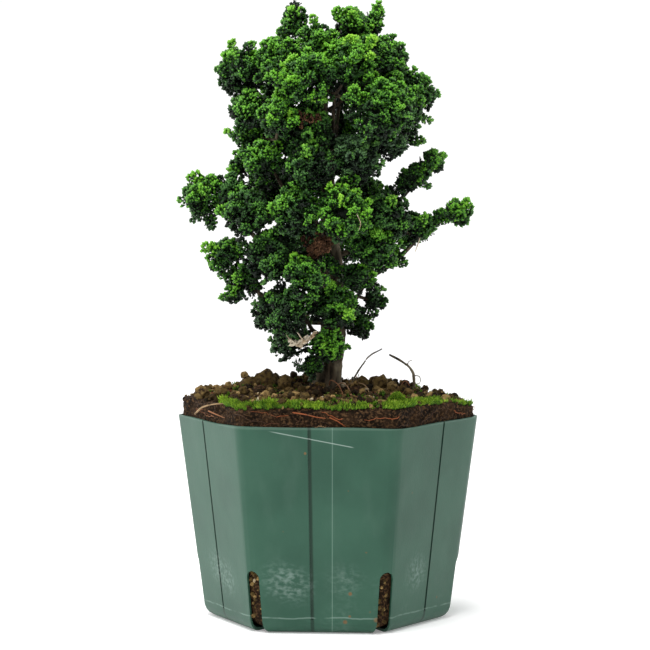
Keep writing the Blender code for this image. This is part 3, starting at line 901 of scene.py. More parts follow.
class FanShape:
    """A fan of blunt club-shaped tips in the XY plane that grows along +Y from the origin."""

    def __init__(self, sizes: FanSizes, seed: int) -> None:
        """Keeps the fan's sizes and its random draws.

        Args:
            sizes: The fan's sizes.
            seed: Sets the random draws.
        """
        self.sizes = sizes
        self.draw = np.random.default_rng(seed)

    def club(self, start: np.ndarray, way: np.ndarray, length: float, age: float) -> Shell:
        """One leafy tip: a point at its foot, a ring of three corners near its end, and a blunt end.

        Args:
            start: Its foot.
            way: Its direction, of length one.
            length: Its length.
            age: The shading value at its foot, 0 for old wood. Low values darken the foot towards near black,
                partly as painted shade.

        Returns:
            The tip.
        """
        across = unit(np.cross(way, UP))
        above = np.cross(across, way)
        wide = self.sizes.half_width * self.draw.uniform(0.82, 1.15)
        turns = self.draw.uniform(0, math.tau) + np.arange(3) * math.tau / 3
        around = np.outer(np.cos(turns), across) + self.sizes.half_thickness * np.outer(np.sin(turns), above)
        points = np.vstack((start, start + way * length * 0.68 + wide * around, start + way * length * 1.06))
        faces = [(0, k + 1, (k + 1) % 3 + 1) for k in range(3)]
        faces += [(4, (k + 1) % 3 + 1, k + 1) for k in range(3)]
        shades = np.zeros((5, 3))
        # Dark at the foot and bright at the blunt end: partly the shoot's own colour, partly painted shade.
        shades[:, 0] = (0.6 * age, *[0.36 + 0.4 * age] * 3, 1.05)
        return Shell(points, np.array(faces)[:, ::-1], shades)

    @staticmethod
    def stalk(start: np.ndarray, end: np.ndarray, wide: float) -> Shell:
        """A three-sided stalk that the tips stand on. Its value of 0 makes it near black in the leaves'
        material: partly its own dark wood, partly painted shade.

        Args:
            start: Its foot.
            end: Its end.
            wide: Its half width at the foot.

        Returns:
            The stalk.
        """
        across = unit(np.cross(end - start, UP))
        points = np.array((start + across * wide, start - across * wide, start + UP * wide, end))
        return Shell(points, np.array(((0, 2, 3), (2, 1, 3), (1, 0, 3), (0, 1, 2))), np.zeros((4, 3)))

    def way(self, degrees: float, tilt: float) -> np.ndarray:
        """A direction in the fan's plane, tilted a little out of it.

        Args:
            degrees: The turn from +Y towards +X.
            tilt: The rise towards +Z, in degrees.

        Returns:
            The direction.
        """
        turn, rise = math.radians(degrees), math.radians(tilt)
        return np.array((math.sin(turn) * math.cos(rise), math.cos(turn) * math.cos(rise), math.sin(rise)))

    def shell(self) -> Shell:
        """Builds the fan: a stalk, side branches in turn, and club-shaped tips on all of them.

        Returns:
            The fan, in millimetres.
        """
        sizes, draw = self.sizes, self.draw
        top = self.way(0, 0) * sizes.length
        shells = [self.stalk(np.zeros(3), top, sizes.stalk_width)]
        for turn in sizes.tip_turns:
            way = self.way(turn, draw.uniform(-15, 15))
            shells.append(self.club(top * 0.88, way, sizes.club_length, 0.45))
        for number, station in enumerate(sizes.branches):
            side = 1 if number % 2 == 0 else -1
            foot = top * station
            turn = side * (sizes.branch_angle * (1.1 - 0.35 * station) + draw.uniform(-7, 7))
            tilt = draw.uniform(-22, 22)
            length = sizes.length * sizes.branch_share * (1.05 - 0.60 * station) * draw.uniform(0.88, 1.12)
            for share, hand in sizes.branch_clubs:
                way = self.way(turn + hand * side + draw.uniform(-10, 10), tilt + draw.uniform(-28, 28))
                place = foot + self.way(turn, tilt) * length * share
                reach = sizes.club_length * draw.uniform(0.85, 1.15)
                shells.append(self.club(place, way, reach, 0.30 * station + 0.2))
        fan = Shell.joined(shells)
        x, y = fan.points[:, 0], fan.points[:, 1]
        fan.points[:, 2] += sizes.cup * (x**2 + 0.35 * y**2) - 0.25 * sizes.cup * sizes.length * y
        return fan


@dataclass
class Foliage:
    """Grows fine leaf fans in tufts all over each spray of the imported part.

    The arms are rows of tufts along outer twigs: from, to and half width in mm, by spray.
    """

    nodes: dict[str, bpy.types.Object]
    seed: int = 7
    shapes: int = 12
    tuft_spacing_mm: float = 6.3
    fans_a_tuft: int = 3
    inner_share: float = 0.38
    sink_share: float = 0.74
    core_share: float = 0.32
    filling_share: float = 0.38
    filling_depth: float = 0.70
    knob_spacing_mm: float = 12.0
    knob_reach_mm: float = 6.2
    lump_mm: float = 3.8
    swell_mm: float = 3.4
    sink_mm: float = 4.1
    uneven_mm: tuple[float, float] = (-1.2, 0.8)
    stray_mm: tuple[float, float] = (1.5, 4.5)
    stray_share: float = 0.13
    depth_range_mm: tuple[float, float] = (-6.0, 3.8)
    knob_pull: float = 0.9
    lean_up: float = 0.16
    lean_out: float = 0.38
    lean_stray: float = 0.34
    fan_scale: tuple[float, float] = (0.72, 1.1)
    # The lift of the near-black copy inside each spray: painted shade.
    shade_core_lift: float = -0.5
    arm_lump: float = 0.35
    arm_swell: float = 0.5
    seam_reach: float = 1.15
    arms: dict[str, tuple[tuple[Point, Point, float], ...]] = field(default_factory=lambda: {
        "spray_far_right": (((68, -5, 228), (48, -7, 222), 3.0), ((60, -5, 221), (44, -8, 214), 2.2)),
        "spray_right_arm_low": (((46, 0, 252), (40, -2, 247), 1.8), ((44, -1, 247), (33, -6, 238), 2.4)),
        "spray_right_arm_tip": (((59, -3, 258), (49, -1, 254), 2.0),),
        "spray_far_left": (((-62, -6, 236), (-46, -9, 226), 4.0), ((-70, -6, 232), (-66, -8, 226), 2.2),
                           ((-67, -5, 246), (-58, -6, 249), 1.8)),
        "spray_apex_left": (((-21, 0, 339), (-19, 0, 346), 1.6),),
        "spray_apex_middle": (((14, -5, 340), (12, -5, 345), 2.4),),
        "spray_apex_right": (((28, 5, 338), (28, 5, 343.5), 1.8),),
        "spray_front_low": (((-2, -30, 205), (7, -20, 197), 2.6),),
        "spray_low_left": (((-50, -13, 189), (-57, -14, 182), 3.2),),
        "spray_skirt_front": (((-4, -24, 151), (-9, -17, 141), 2.8), ((-9, -18, 148), (-11, -15, 142), 1.6)),
    })
    noise: SpaceNoise = field(default_factory=lambda: SpaceNoise(17))
    templates: list[Shell] = field(default_factory=list)
    balls: dict[str, tuple[np.ndarray, float]] = field(default_factory=dict)

    def build(self) -> None:
        """Makes one piece for each spray node, in its place."""
        self.templates = [FanShape(FanSizes(), self.seed + k).shell() for k in range(self.shapes)]
        green, brown = Materials.leaves(), Materials.dead_leaves()
        self.balls = {name: self.ball(node) for name, node in self.nodes.items() if name.startswith("spray_")}
        total = 0
        for number, name in enumerate(sorted(n for n in self.nodes if n.startswith("spray_"))):
            dead = "dead" in name
            made = self.spray(name, np.random.default_rng(self.seed * 1000 + number))
            piece = made.make_object(name.replace("spray", "leaves"), brown if dead else green)
            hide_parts(name)
            total += len(made.triangles)
        LOG.info("foliage: %d triangles", total)

    @staticmethod
    def ball(node: bpy.types.Object) -> tuple[np.ndarray, float]:
        """A spray node's middle and mean radius.

        Args:
            node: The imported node.

        Returns:
            The middle and the radius, in metres.
        """
        points = np.array([v.co for v in node.data.vertices])
        middle = (points.min(axis=0) + points.max(axis=0)) / 2
        return middle, float(np.mean(np.linalg.norm(points - middle, axis=1)))

    def seams(self, name: str, draw: np.random.Generator) -> tuple[np.ndarray, np.ndarray]:
        """Places for tufts that fill the furrows between a spray and the neighbours after it in the alphabet.

        Two balls meet in a circle round their axis. The tufts stand on that circle where it faces out of the
        crown.

        Args:
            name: The spray.
            draw: The random draws.

        Returns:
            The tufts' places and directions, in metres.
        """
        middle, size = self.balls[name]
        places, ways = [np.zeros((0, 3))], [np.zeros((0, 3))]
        for other, (there, wide) in self.balls.items():
            apart = float(np.linalg.norm(there - middle))
            if other <= name or apart > self.seam_reach * (size + wide) or "dead" in name + other:
                continue
            axis = (there - middle) / apart
            share = (apart**2 + size**2 - wide**2) / (2 * apart)
            reach = math.sqrt(max(size**2 - share**2, (0.45 * size) ** 2))
            count = int(math.tau * reach / (self.tuft_spacing_mm * MM))
            side = unit(np.cross(axis, draw.normal(0, 1, 3)))
            turn = math.tau * (np.arange(count) + draw.uniform(0, 0.8, count)) / count
            around = np.outer(np.cos(turn), side) + np.outer(np.sin(turn), np.cross(axis, side))
            crown = unit(middle + there - np.array((0.0, 0.0, middle[2] + there[2] - 0.03)))
            around = around[around @ crown > -0.15]
            spread = draw.uniform(-0.25, 0.25, (len(around), 1)) * size
            ring = around * reach * draw.uniform(0.75, 1.0, (len(around), 1))
            places.append(middle + axis * share + ring + axis * spread)
            ways.append(unit(around + 0.5 * crown))
        return np.concatenate(places), np.concatenate(ways)

    @staticmethod
    def room(size: float, spacing_mm: float) -> float:
        """How many tufts or knobs find room on a ball.

        Args:
            size: The ball's radius, in metres.
            spacing_mm: How far apart they stand.

        Returns:
            Their number, not rounded.
        """
        return 4 * math.pi * (size / MM) ** 2 / (0.86 * spacing_mm**2)

    def surface_tufts(self, name: str, tree: BVHTree, crown: np.ndarray,
                      draw: np.random.Generator) -> tuple[np.ndarray, np.ndarray]:
        """Places for tufts spread evenly over a packed spray, fewer where it faces into the crown.

        Args:
            name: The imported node.
            tree: Its surface.
            crown: The way out of the crown.
            draw: The random draws.

        Returns:
            The tufts' places and directions, in metres.
        """
        middle, size = self.balls[name]
        count = max(12, int(self.room(size, self.tuft_spacing_mm)))
        ways = self.even_ways(count, draw)
        outer = smoothstep(-0.6, 0.1, ways @ crown)
        ways = ways[draw.random(count) < self.inner_share + (1 - self.inner_share) * outer]
        far = 80 * MM
        hits = [(tree.ray_cast(Vector(middle + way * far), Vector(-way))[0], way) for way in ways]
        found = [(np.array(hit), way) for hit, way in hits if hit is not None]
        places, ways = zip(*[(hit, way) for hit, way in found if (hit - middle) @ way > 0])
        return np.array(places), np.array(ways)

    def tufts(self, name: str, tree: BVHTree, crown: np.ndarray,
              draw: np.random.Generator) -> tuple[np.ndarray, np.ndarray, int]:
        """Places for all of a spray's tufts: on its surface, in its seams, sunk into it and along its arms.

        Args:
            name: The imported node.
            tree: Its surface.
            crown: The way out of the crown.
            draw: The random draws.

        Returns:
            The tufts' places and directions, in metres, and how many of them come before the arms'.
        """
        middle, _ = self.balls[name]
        places, ways = self.surface_tufts(name, tree, crown, draw)
        seam_places, seam_ways = self.seams(name, draw)
        inner = draw.random(len(places)) < self.filling_share
        sunk = middle + (places[inner] - middle) * self.filling_depth
        places = np.concatenate([places, seam_places, sunk])
        ways = np.concatenate([ways, seam_ways, ways[inner]])
        on_ball = len(places)
        for start, end, width in self.arms.get(name, ()):
            share = draw.random(int(0.9 * math.dist(start, end))) ** 0.9
            around = unit(draw.normal(0, 1, (len(share), 3)) * (1.0, 0.8, 1.0))
            along = np.array(start) + np.outer(share, np.subtract(end, start))
            places = np.concatenate([places, (along + around * width) * MM])
            ways = np.concatenate([ways, around])
        return places, ways, on_ball

    def knobbly(self, name: str, places: np.ndarray, ways: np.ndarray, on_ball: int,
                draw: np.random.Generator) -> tuple[np.ndarray, np.ndarray, np.ndarray]:
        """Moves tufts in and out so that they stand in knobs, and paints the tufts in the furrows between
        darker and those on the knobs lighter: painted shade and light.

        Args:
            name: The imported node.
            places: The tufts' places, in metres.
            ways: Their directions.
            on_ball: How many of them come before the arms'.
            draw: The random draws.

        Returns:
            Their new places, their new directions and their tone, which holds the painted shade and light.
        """
        middle, size = self.balls[name]
        count = len(places)
        lump = self.noise.layered(places / MM, 11.0, 2)
        lump[on_ball:] = self.arm_lump
        stray = draw.uniform(*self.stray_mm, count) * (draw.random(count) < self.stray_share)
        knobs = self.even_ways(max(5, round(self.room(size, self.knob_spacing_mm))), draw)
        facing = unit(places - middle)
        aside = facing - knobs[np.argmax(facing @ knobs.T, axis=1)]
        swell = np.clip(1 - (np.linalg.norm(aside, axis=1) * size / MM / self.knob_reach_mm) ** 2, -0.8, 1.0)
        swell[on_ball:] = self.arm_swell
        depth = self.lump_mm * lump + self.swell_mm * swell - self.sink_mm
        depth = np.clip(depth + draw.uniform(*self.uneven_mm, count) + stray, *self.depth_range_mm)
        # Tufts on the knobs turn lighter and those in the furrows darker: painted light and shade, over a
        # random tone.
        tone = draw.normal(0.0, 0.07, count) + 0.10 * lump + 0.10 * (swell - 0.5)
        ways = unit(ways + self.knob_pull * aside)
        # The deeper a tuft sits, the darker it is painted: painted shade.
        return places + ways * (depth * MM)[:, None], ways, tone + np.clip(0.090 * depth, -0.46, 0.30)

    def fans(self, name: str, places: np.ndarray, ways: np.ndarray, tone: np.ndarray, crown: np.ndarray,
             draw: np.random.Generator) -> list[Shell]:
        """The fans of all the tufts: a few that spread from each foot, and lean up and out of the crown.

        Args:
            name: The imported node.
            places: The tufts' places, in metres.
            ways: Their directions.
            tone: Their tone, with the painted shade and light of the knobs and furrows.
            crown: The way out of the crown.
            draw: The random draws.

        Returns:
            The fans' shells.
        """
        places, ways, tone = (np.repeat(rows, self.fans_a_tuft, axis=0) for rows in (places, ways, tone))
        number = len(places)
        lean = self.lean_up * UP + self.lean_out * crown
        growing = unit(ways + lean + draw.normal(0.0, self.lean_stray, ways.shape))
        across = unit(np.cross(growing, unit(draw.normal(0, 1, growing.shape) + (0.0, 0.0, 1.1))))
        scale = draw.uniform(*self.fan_scale, number) * MM
        feet = places - growing * (self.sink_share * FanSizes().length * scale)[:, None]
        frames = np.stack([across, growing, np.cross(across, growing)], axis=2) * scale[:, None, None]
        lift, grey = tone_of(name).value
        # Fans that grow up and out of the crown are painted lighter and those that point inward darker:
        # painted light and shade, together with the older inner growth's own darker colour.
        outward = smoothstep(-0.6, 0.9, growing @ unit(0.8 * crown + UP))
        under = smoothstep(0.0, -0.7, growing[:, 2])
        values = np.zeros((number, 3))
        values[:, 1] = lift + tone + 0.55 * (outward - 0.66) + draw.normal(0.0, 0.05, number)
        values[:, 2] = np.clip(grey * draw.uniform(0.5, 1.1, number) + 0.5 * under, 0.0, 1.0)
        pick = draw.integers(0, len(self.templates), number)
        return scattered(self.templates, pick, frames, feet, values)

    def spray(self, name: str, draw: np.random.Generator) -> Shell:
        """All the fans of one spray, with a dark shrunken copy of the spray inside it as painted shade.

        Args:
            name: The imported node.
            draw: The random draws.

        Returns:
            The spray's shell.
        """
        mesh = self.nodes[name].data
        points = np.array([v.co for v in mesh.vertices])
        polygons = [tuple(p.vertices) for p in mesh.polygons]
        tree = BVHTree.FromPolygons([Vector(p) for p in points], polygons)
        middle, _ = self.balls[name]
        crown = unit(middle - np.array((0.0, 0.0, middle[2] - 20 * MM)))
        places, ways, tone = self.knobbly(name, *self.tufts(name, tree, crown, draw), draw)
        triangles = np.array([(p[0], p[k], p[k + 1]) for p in polygons for k in range(1, len(p) - 1)])
        # A shrunken near-black copy of the spray stands for the shade deep inside it: painted shade.
        shade_core = Shell(middle + (points - middle) * self.core_share, triangles, np.zeros(points.shape))
        shade_core.values[:, 1] = self.shade_core_lift
        return Shell.joined([shade_core, *self.fans(name, places, ways, tone, crown, draw)])

    @staticmethod
    def even_ways(count: int, draw: np.random.Generator) -> np.ndarray:
        """Directions spread evenly over a ball by the golden angle, turned by chance.

        Args:
            count: How many.
            draw: The random draws.

        Returns:
            Rows of directions.
        """
        number = np.arange(count) + 0.5
        rise = 1 - 2 * number / count
        turn = math.pi * (1 + math.sqrt(5)) * number + draw.uniform(0, math.tau)
        flat = np.sqrt(1 - rise**2)
        ways = np.stack([flat * np.cos(turn), flat * np.sin(turn), rise], axis=1)
        return unit(ways + draw.normal(0, 0.10, ways.shape))


@dataclass
class Wood:
    """The trunk's bark and the dry stems that stand in the soil, in mm.

    The trunk's rows are height, x, y and radius. A stem's entry is its radius and the places it goes through.
    """

    noise: SpaceNoise = field(default_factory=lambda: SpaceNoise(3))
    trunk: tuple[tuple[float, ...], ...] = (
        (122, -1.0, 0.0, 9.3), (131, -1.0, 0.0, 8.8), (140, 0.0, 0.0, 7.9), (158, 2.6, 0.5, 6.9),
        (178, 3.8, 1.0, 6.1), (205, 2.6, 1.0, 5.2), (240, 0.0, 0.5, 4.3), (280, -3.0, 0.0, 3.3),
        (312, -2.0, -1.0, 2.4), (328, 1.0, -1.5, 1.6),
    )
    sleeve_size: tuple[int, int] = (190, 54)
    stem_steps: int = 28
    stems: dict[str, tuple[float, Line]] = field(default_factory=lambda: {
        "dry_stem_thin": (0.55, ((14, -2, 127), (15, -2, 136), (20, -2, 144), (24, -3, 149), (31, -3, 153))),
        "dry_stem_hooked": (0.85, ((49, -6, 123), (49, -6, 136), (47, -6, 142), (42, -6, 146),
                                   (35, -7, 150))),
    })
    shoot_radii: tuple[float, float] = (0.30, 0.16)
    shoots: dict[str, tuple[Line, ...]] = field(default_factory=lambda: {
        "dry_stem_thin": (
            ((14.6, -2, 131), (12.5, -2.5, 134), (11.5, -3, 137)),
            ((15, -2, 135), (17, -2.5, 136.5), (18, -3, 139)),
        ),
        "dry_stem_hooked": (
            ((49, -6, 138), (52, -6.5, 137.5), (52.6, -7, 134.5), (50.4, -7.5, 133.2), (49.2, -7, 135)),
            ((49, -6, 131), (51.5, -7, 130.5), (53, -8, 128)),
            ((45, -6, 143.5), (46, -7, 146), (48, -7.5, 147)),
        ),
    })

    def build(self, nodes: dict[str, bpy.types.Object]) -> None:
        """Makes the trunk's rough sleeve and the two dry stems, and barks the branches.

        Args:
            nodes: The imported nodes.
        """
        bark = Materials.bark()
        wood = nodes["trunk_and_branches"]
        wood.data.materials.clear()
        wood.data.materials.append(bark)
        wood.data.shade_smooth()
        self.sleeve().make_object("trunk_bark", bark)
        for name, (radius, points) in self.stems.items():
            line = smooth_line(np.array(points, float), self.stem_steps)
            wiggle = self.noise.layered(np.stack([line[:, 2], line[:, 0], 0 * line[:, 0]], axis=1), 4.0)
            line[:, 0] += 0.5 * wiggle
            radii = radius * MM * np.linspace(1.0, 0.65, self.stem_steps)
            radii *= 1 + 0.18 * self.noise.at(line, 2.2)
            shoots = [thread(shoot, 16, self.shoot_radii, 5, 0.2) for shoot in self.shoots[name]]
            stem = Shell.joined([tube(line * MM, radii, 8, 0.2), *shoots])
            piece = stem.make_object(name.replace("stem", "twig"), bark)
            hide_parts(name)

    def sleeve(self) -> Shell:
        """The trunk's surface with root flare, ridges along it and flaking bark.

        Returns:
            The sleeve.
        """
        rows, sides = self.sleeve_size
        line = smooth_line(np.array(self.trunk), rows)
        turn = math.tau * np.arange(sides) / sides
        ring = np.stack([np.cos(turn), np.sin(turn), 0 * turn], axis=1)
        points = (line[:, None, [1, 2, 0]] + ring[None] * line[:, 3][:, None, None]).reshape(-1, 3)
        stretched = points * (1.0, 1.0, 0.3)
        relief = 0.55 * self.noise.layered(stretched, 3.2) + 0.35 * self.noise.at(points, 1.4)
        flare = np.clip((136 - points[:, 2]) / 14, 0, 1) ** 1.6
        around = np.tile(turn, rows)
        flutes = 0.5 + 0.5 * np.sin(5 * around + 0.6 + 0.8 * np.sin(2 * around))
        grown = relief + flare * (0.6 + 2.6 * flutes) + 0.35
        points = points + np.tile(ring, (rows, 1)) * grown[:, None]
        return Shell(points * MM, sleeve_faces(rows, sides), np.zeros(points.shape))


@dataclass
class RootBall:
    """The soil block with its grains, moss and roots, in mm.

    The clods are single large grains: x, y, z, radius and shade. The seen roots are radius, shade and places.
    The holes, where the packed soil leaves room for the trunk and the stems, are x, y and radius. The moss
    grows along the front edge, in patches inside it and on one cushion, given by its foot and its size.
    """

    node: bpy.types.Object
    seed: int = 11
    angles: int = 380
    corner_sharpness: float = 30.0
    rim_radius: float = 87.0
    base_radius: float = 71.8
    pot_height: float = 115.0
    inset: float = 2.21
    edge_top: float = 124.6
    crumbly_from: float = 110.0
    clear_of_pot: tuple[float, float] = (115.5, 117.5)
    edge_range: tuple[float, float] = (119.0, 127.0)
    grain_groups: tuple[tuple[int, float, float], ...] = ((260, 1.5, 3.4), (1500, 0.5, 1.5))
    slit_grains: int = 34
    moss_counts: tuple[int, int, int] = (5600, 5200, 420)
    moss_heights: tuple[float, float, float] = (1.45, 0.85, 0.95)
    moss_lifts: tuple[float, float, float] = (0.08, -0.2, 0.12)
    cushion: tuple[Point, Point] = ((37.5, -58.0, 126.0), (6.0, 4.0, 6.0))
    threads: int = 46
    trunk_clearance: float = 11.5
    hole_cover: float = 128.5
    holes: Line = ((-1.0, 0.0, 13.0), (14.0, -2.0, 2.8), (49.0, -6.0, 3.2))
    noise: SpaceNoise = field(default_factory=lambda: SpaceNoise(5))
    tree: BVHTree | None = None
    clods: tuple[tuple[float, float, float, float, float], ...] = (
        (-35, -6, 135.6, 6.0, 0.62), (-44, -4, 133.0, 4.6, 0.55), (-24, -10, 134.0, 4.4, 0.70),
        (19, -8, 133.0, 4.8, 0.5), (30, -4, 134.0, 4.6, 0.68), (37, -12, 131.5, 3.6, 0.75),
        (-71, -14, 129.0, 4.2, 0.72), (-60, -20, 129.5, 3.8, 0.5), (-37, -52, 128.2, 2.6, 0.985),
        (24, -48, 128.2, 2.3, 0.99), (58, -22, 127.6, 2.8, 0.90), (66, -14, 126.4, 2.4, 0.92),
        (-14, -20, 131.0, 3.8, 0.6), (46, -20, 129.6, 3.4, 0.66), (28, -20, 130.6, 3.0, 0.72),
        (-52, -30, 129.0, 3.0, 0.6),
    )
    seen_roots: tuple[tuple[float, float, Line], ...] = (
        (0.42, 0.45, ((-19, -73, 123.6), (-12, -74.2, 122.6), (-6, -74.4, 121.2), (-1, -74.5, 120.6))),
        (0.38, 0.45, ((1, -74.4, 121.0), (5, -74.6, 119.2), (8, -74.4, 117.2), (10, -74.2, 115.8))),
        (0.55, 0.9, ((-74, -31, 118.6), (-70, -36, 122.6), (-64, -42, 125.0), (-57, -45, 125.8),
                     (-51, -44, 125.2))),
        (0.40, 0.7, ((-66, -43, 121.5), (-61, -47.5, 119.8), (-55, -51.5, 117.8))),
        (0.50, 0.80, ((5, -10, 132.0), (8, -20, 135.0), (11, -30, 134.0), (14, -39, 128.6))),
        (0.45, 0.75, ((-3, -10, 132.0), (-6, -19, 134.6), (-3, -29, 133.6), (2, -38, 129.0))),
        (0.40, 0.85, ((8, -8, 131.0), (15, -15, 134.6), (21, -24, 134.0), (24, -34, 128.8))),
        (0.40, 0.70, ((1, -11, 133.0), (2, -21, 136.6), (6, -31, 135.0), (9, -36, 129.4))),
    )

    def build(self) -> None:
        """Makes the soil, its grains, moss and roots."""
        mesh = self.node.data
        polygons = [tuple(p.vertices) for p in mesh.polygons]
        self.tree = BVHTree.FromPolygons([v.co for v in mesh.vertices], polygons)
        ground = self.ground()
        soil = ground.make_object("soil_block", Materials.soil())
        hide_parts("soil")
        self.tree = BVHTree.FromPolygons([Vector(p) for p in ground.points], ground.triangles.tolist())
        self.grains().make_object("soil_grains", Materials.grains(), smooth=False)
        self.slit_grit().make_object("slit_grit", Materials.grains(), smooth=False)
        self.moss().make_object("moss", Materials.moss())
        self.roots().make_object("fine_roots", Materials.roots())

    def outline(self, turn: np.ndarray) -> np.ndarray:
        """A six-sided outline's distance from its middle, as a share of that at the middle of a side.

        Args:
            turn: Angles, in radians.

        Returns:
            One share for each angle.
        """
        sides = -math.pi / 2 + POT_TURN + math.tau * np.arange(6) / 6
        facing = np.clip(np.cos(turn[:, None] - sides[None]), 0.0, 1.0)
        return (facing**self.corner_sharpness).sum(axis=1) ** (-1.0 / self.corner_sharpness)

    def flat_distance(self, height: np.ndarray | float) -> np.ndarray | float:
        """The soil's distance from its middle to a side, from the pot's taper and rounded base edge.

        Args:
            height: Heights in mm.

        Returns:
            Distances in mm.
        """
        corner = self.base_radius + (self.rim_radius - self.base_radius) * height / self.pot_height
        rounding = 9.0 - np.sqrt(np.clip(81.0 - np.clip(11.0 - height, 0, 9.0) ** 2, 0, None))
        return math.cos(math.pi / 6) * (corner - self.inset) - rounding

    def surface(self, x: np.ndarray, y: np.ndarray) -> np.ndarray:
        """The packed soil's height under each point, carried over the trunk's hole.

        Args:
            x: Places in mm.
            y: Places in mm.

        Returns:
            Heights in mm.
        """
        heights = self.top_of(x, y)
        for hole_x, hole_y, radius in self.holes:
            covered = np.hypot(x - hole_x, y - hole_y) < radius
            heights[covered] = np.maximum(heights[covered], self.hole_cover)
        return heights

    def edge_heights(self, turn: np.ndarray, outline: np.ndarray) -> np.ndarray:
        """The height of the block's top edge all round: the packed soil's height near the edge, evened out.

        Args:
            turn: Angles, in radians.
            outline: The outline's share at each angle.

        Returns:
            Heights in mm.
        """
        reach = 0.94 * self.flat_distance(self.edge_top) * outline
        heights = np.clip(self.surface(reach * np.cos(turn), reach * np.sin(turn)), *self.edge_range)
        spread = np.exp(-(np.arange(-9, 10) / 5.0) ** 2)
        wrapped = np.concatenate([heights[-9:], heights, heights[:9]])
        return np.convolve(wrapped, spread / spread.sum(), "valid") - 0.9

    def side_rings(self, turn: np.ndarray, outline: np.ndarray) -> list[np.ndarray]:
        """The block's sides, from the base to the top edge, crumbly where they stand clear of the pot.

        The rings near the top stretch between the height where they turn crumbly and the edge's own height.

        Args:
            turn: Angles, in radians.
            outline: The outline's share at each angle.

        Returns:
            One ring of points for each height.
        """
        edges = self.edge_heights(turn, outline)
        low, top = self.crumbly_from, self.edge_top
        heights = [*np.linspace(2.4, 12, 6), *np.linspace(16, 108, 14), *np.linspace(low, top, 22)]
        rings = []
        for height in heights:
            reach = self.flat_distance(height) * outline
            rise = np.full(self.angles, height)
            if height > low:
                rise = low + (edges - low) * (height - low) / (top - low)
            ring = np.stack([reach * np.cos(turn), reach * np.sin(turn), rise], axis=1)
            free = smoothstep(*self.clear_of_pot, rise)
            crumbs = self.noise.layered(ring * (1.0, 1.0, 1.4), 2.2)
            rough = 1.5 * crumbs + 1.5 * self.noise.layered(ring + 50, 9.0) - 0.7
            rough -= 1.6 * smoothstep(top - 1.8, top, height)
            inside = -0.35 + 0.3 * self.noise.layered(ring, 4.0)
            ring[:, :2] *= 1 + ((free * rough + (1 - free) * inside) / reach)[:, None]
            rings.append(ring)
        return rings

    def top_rings(self, edge: np.ndarray) -> list[np.ndarray]:
        """The block's rough top, from its edge to its middle.

        Args:
            edge: The edge's points.

        Returns:
            Rings of points.
        """
        rings = []
        for share in np.linspace(0.992, 0.0, 62) ** 0.82:
            ring = edge.copy()
            ring[:, :2] *= max(share, 0.004)
            ring[:, 2] = self.surface(ring[:, 0], ring[:, 1])
            detail = 1.6 * self.noise.layered(ring, 8.0) + 0.8 * self.noise.layered(ring + 31, 2.4)
            blend = smoothstep(1.0, 0.93, share)
            ring[:, 2] = edge[:, 2] * (1 - blend) + (ring[:, 2] + detail) * blend
            rings.append(ring)
        return rings

    def ground(self) -> Shell:
        """The whole block's surface as rings: base, sides and rough top.

        Returns:
            The surface.
        """
        turn = math.tau * np.arange(self.angles) / self.angles
        outline = self.outline(turn)
        rings = []
        for share in (0.02, 0.7, 0.93):
            reach = share * self.flat_distance(2.2) * outline
            low = np.full(self.angles, 2.0)
            rings.append(np.stack([reach * np.cos(turn), reach * np.sin(turn), low], axis=1))
        rings += self.side_rings(turn, outline)
        rings += self.top_rings(rings[-1])
        points = np.concatenate(rings)
        return Shell(points * MM, sleeve_faces(len(rings), self.angles), np.zeros(points.shape))

    def spots(self, count: int, inner: float, outer: float, draw: np.random.Generator) -> np.ndarray:
        """Random places on the soil's top, at their real height.

        Args:
            count: How many.
            inner: The smallest share of the way from the middle to the edge.
            outer: The largest such share.
            draw: The random draws.

        Returns:
            Rows of x, y, z in mm.
        """
        turn = draw.uniform(0, math.tau, count)
        share = np.sqrt(draw.uniform(inner**2, outer**2, count))
        reach = share * self.flat_distance(self.edge_top) * self.outline(turn)
        x, y = reach * np.cos(turn), reach * np.sin(turn)
        return np.stack([x, y, self.top_of(x, y)], axis=1)

    def grains(self) -> Shell:
        """Clay grains, grit and a few pebbles, half sunk in the soil.

        Returns:
            All the grains.
        """
        draw = np.random.default_rng(self.seed)
        shapes = [self.stone(draw, 2) for _ in range(5)] + [self.stone(draw, 1) for _ in range(4)]
        shells = []
        for group, (count, low, high) in enumerate(self.grain_groups):
            spots = self.spots(count, 0.12, 0.97, draw)
            spots = spots[np.hypot(spots[:, 0] + 1, spots[:, 1]) > self.trunk_clearance]
            radius = draw.uniform(low, high, len(spots)) * draw.uniform(0.7, 1.0, len(spots))
            spots[:, 2] += 0.25 * radius + (1.2 if group == 0 else 0.3)
            shades = draw.random(len(spots))
            if group == 0:
                clods = np.array(self.clods)
                spots = np.concatenate([spots, clods[:, :3]])
                radius, shades = np.concatenate([radius, clods[:, 3]]), np.concatenate([shades, clods[:, 4]])
            frames = self.random_frames(len(spots), draw) * radius[:, None, None] * MM
            values = np.zeros((len(spots), 3))
            values[:, 1] = shades
            library = shapes[:5] if group == 0 else shapes[5:]
            pick = draw.integers(0, len(library), len(spots))
            shells += scattered(library, pick, frames, spots * MM, values)
        return Shell.joined(shells)

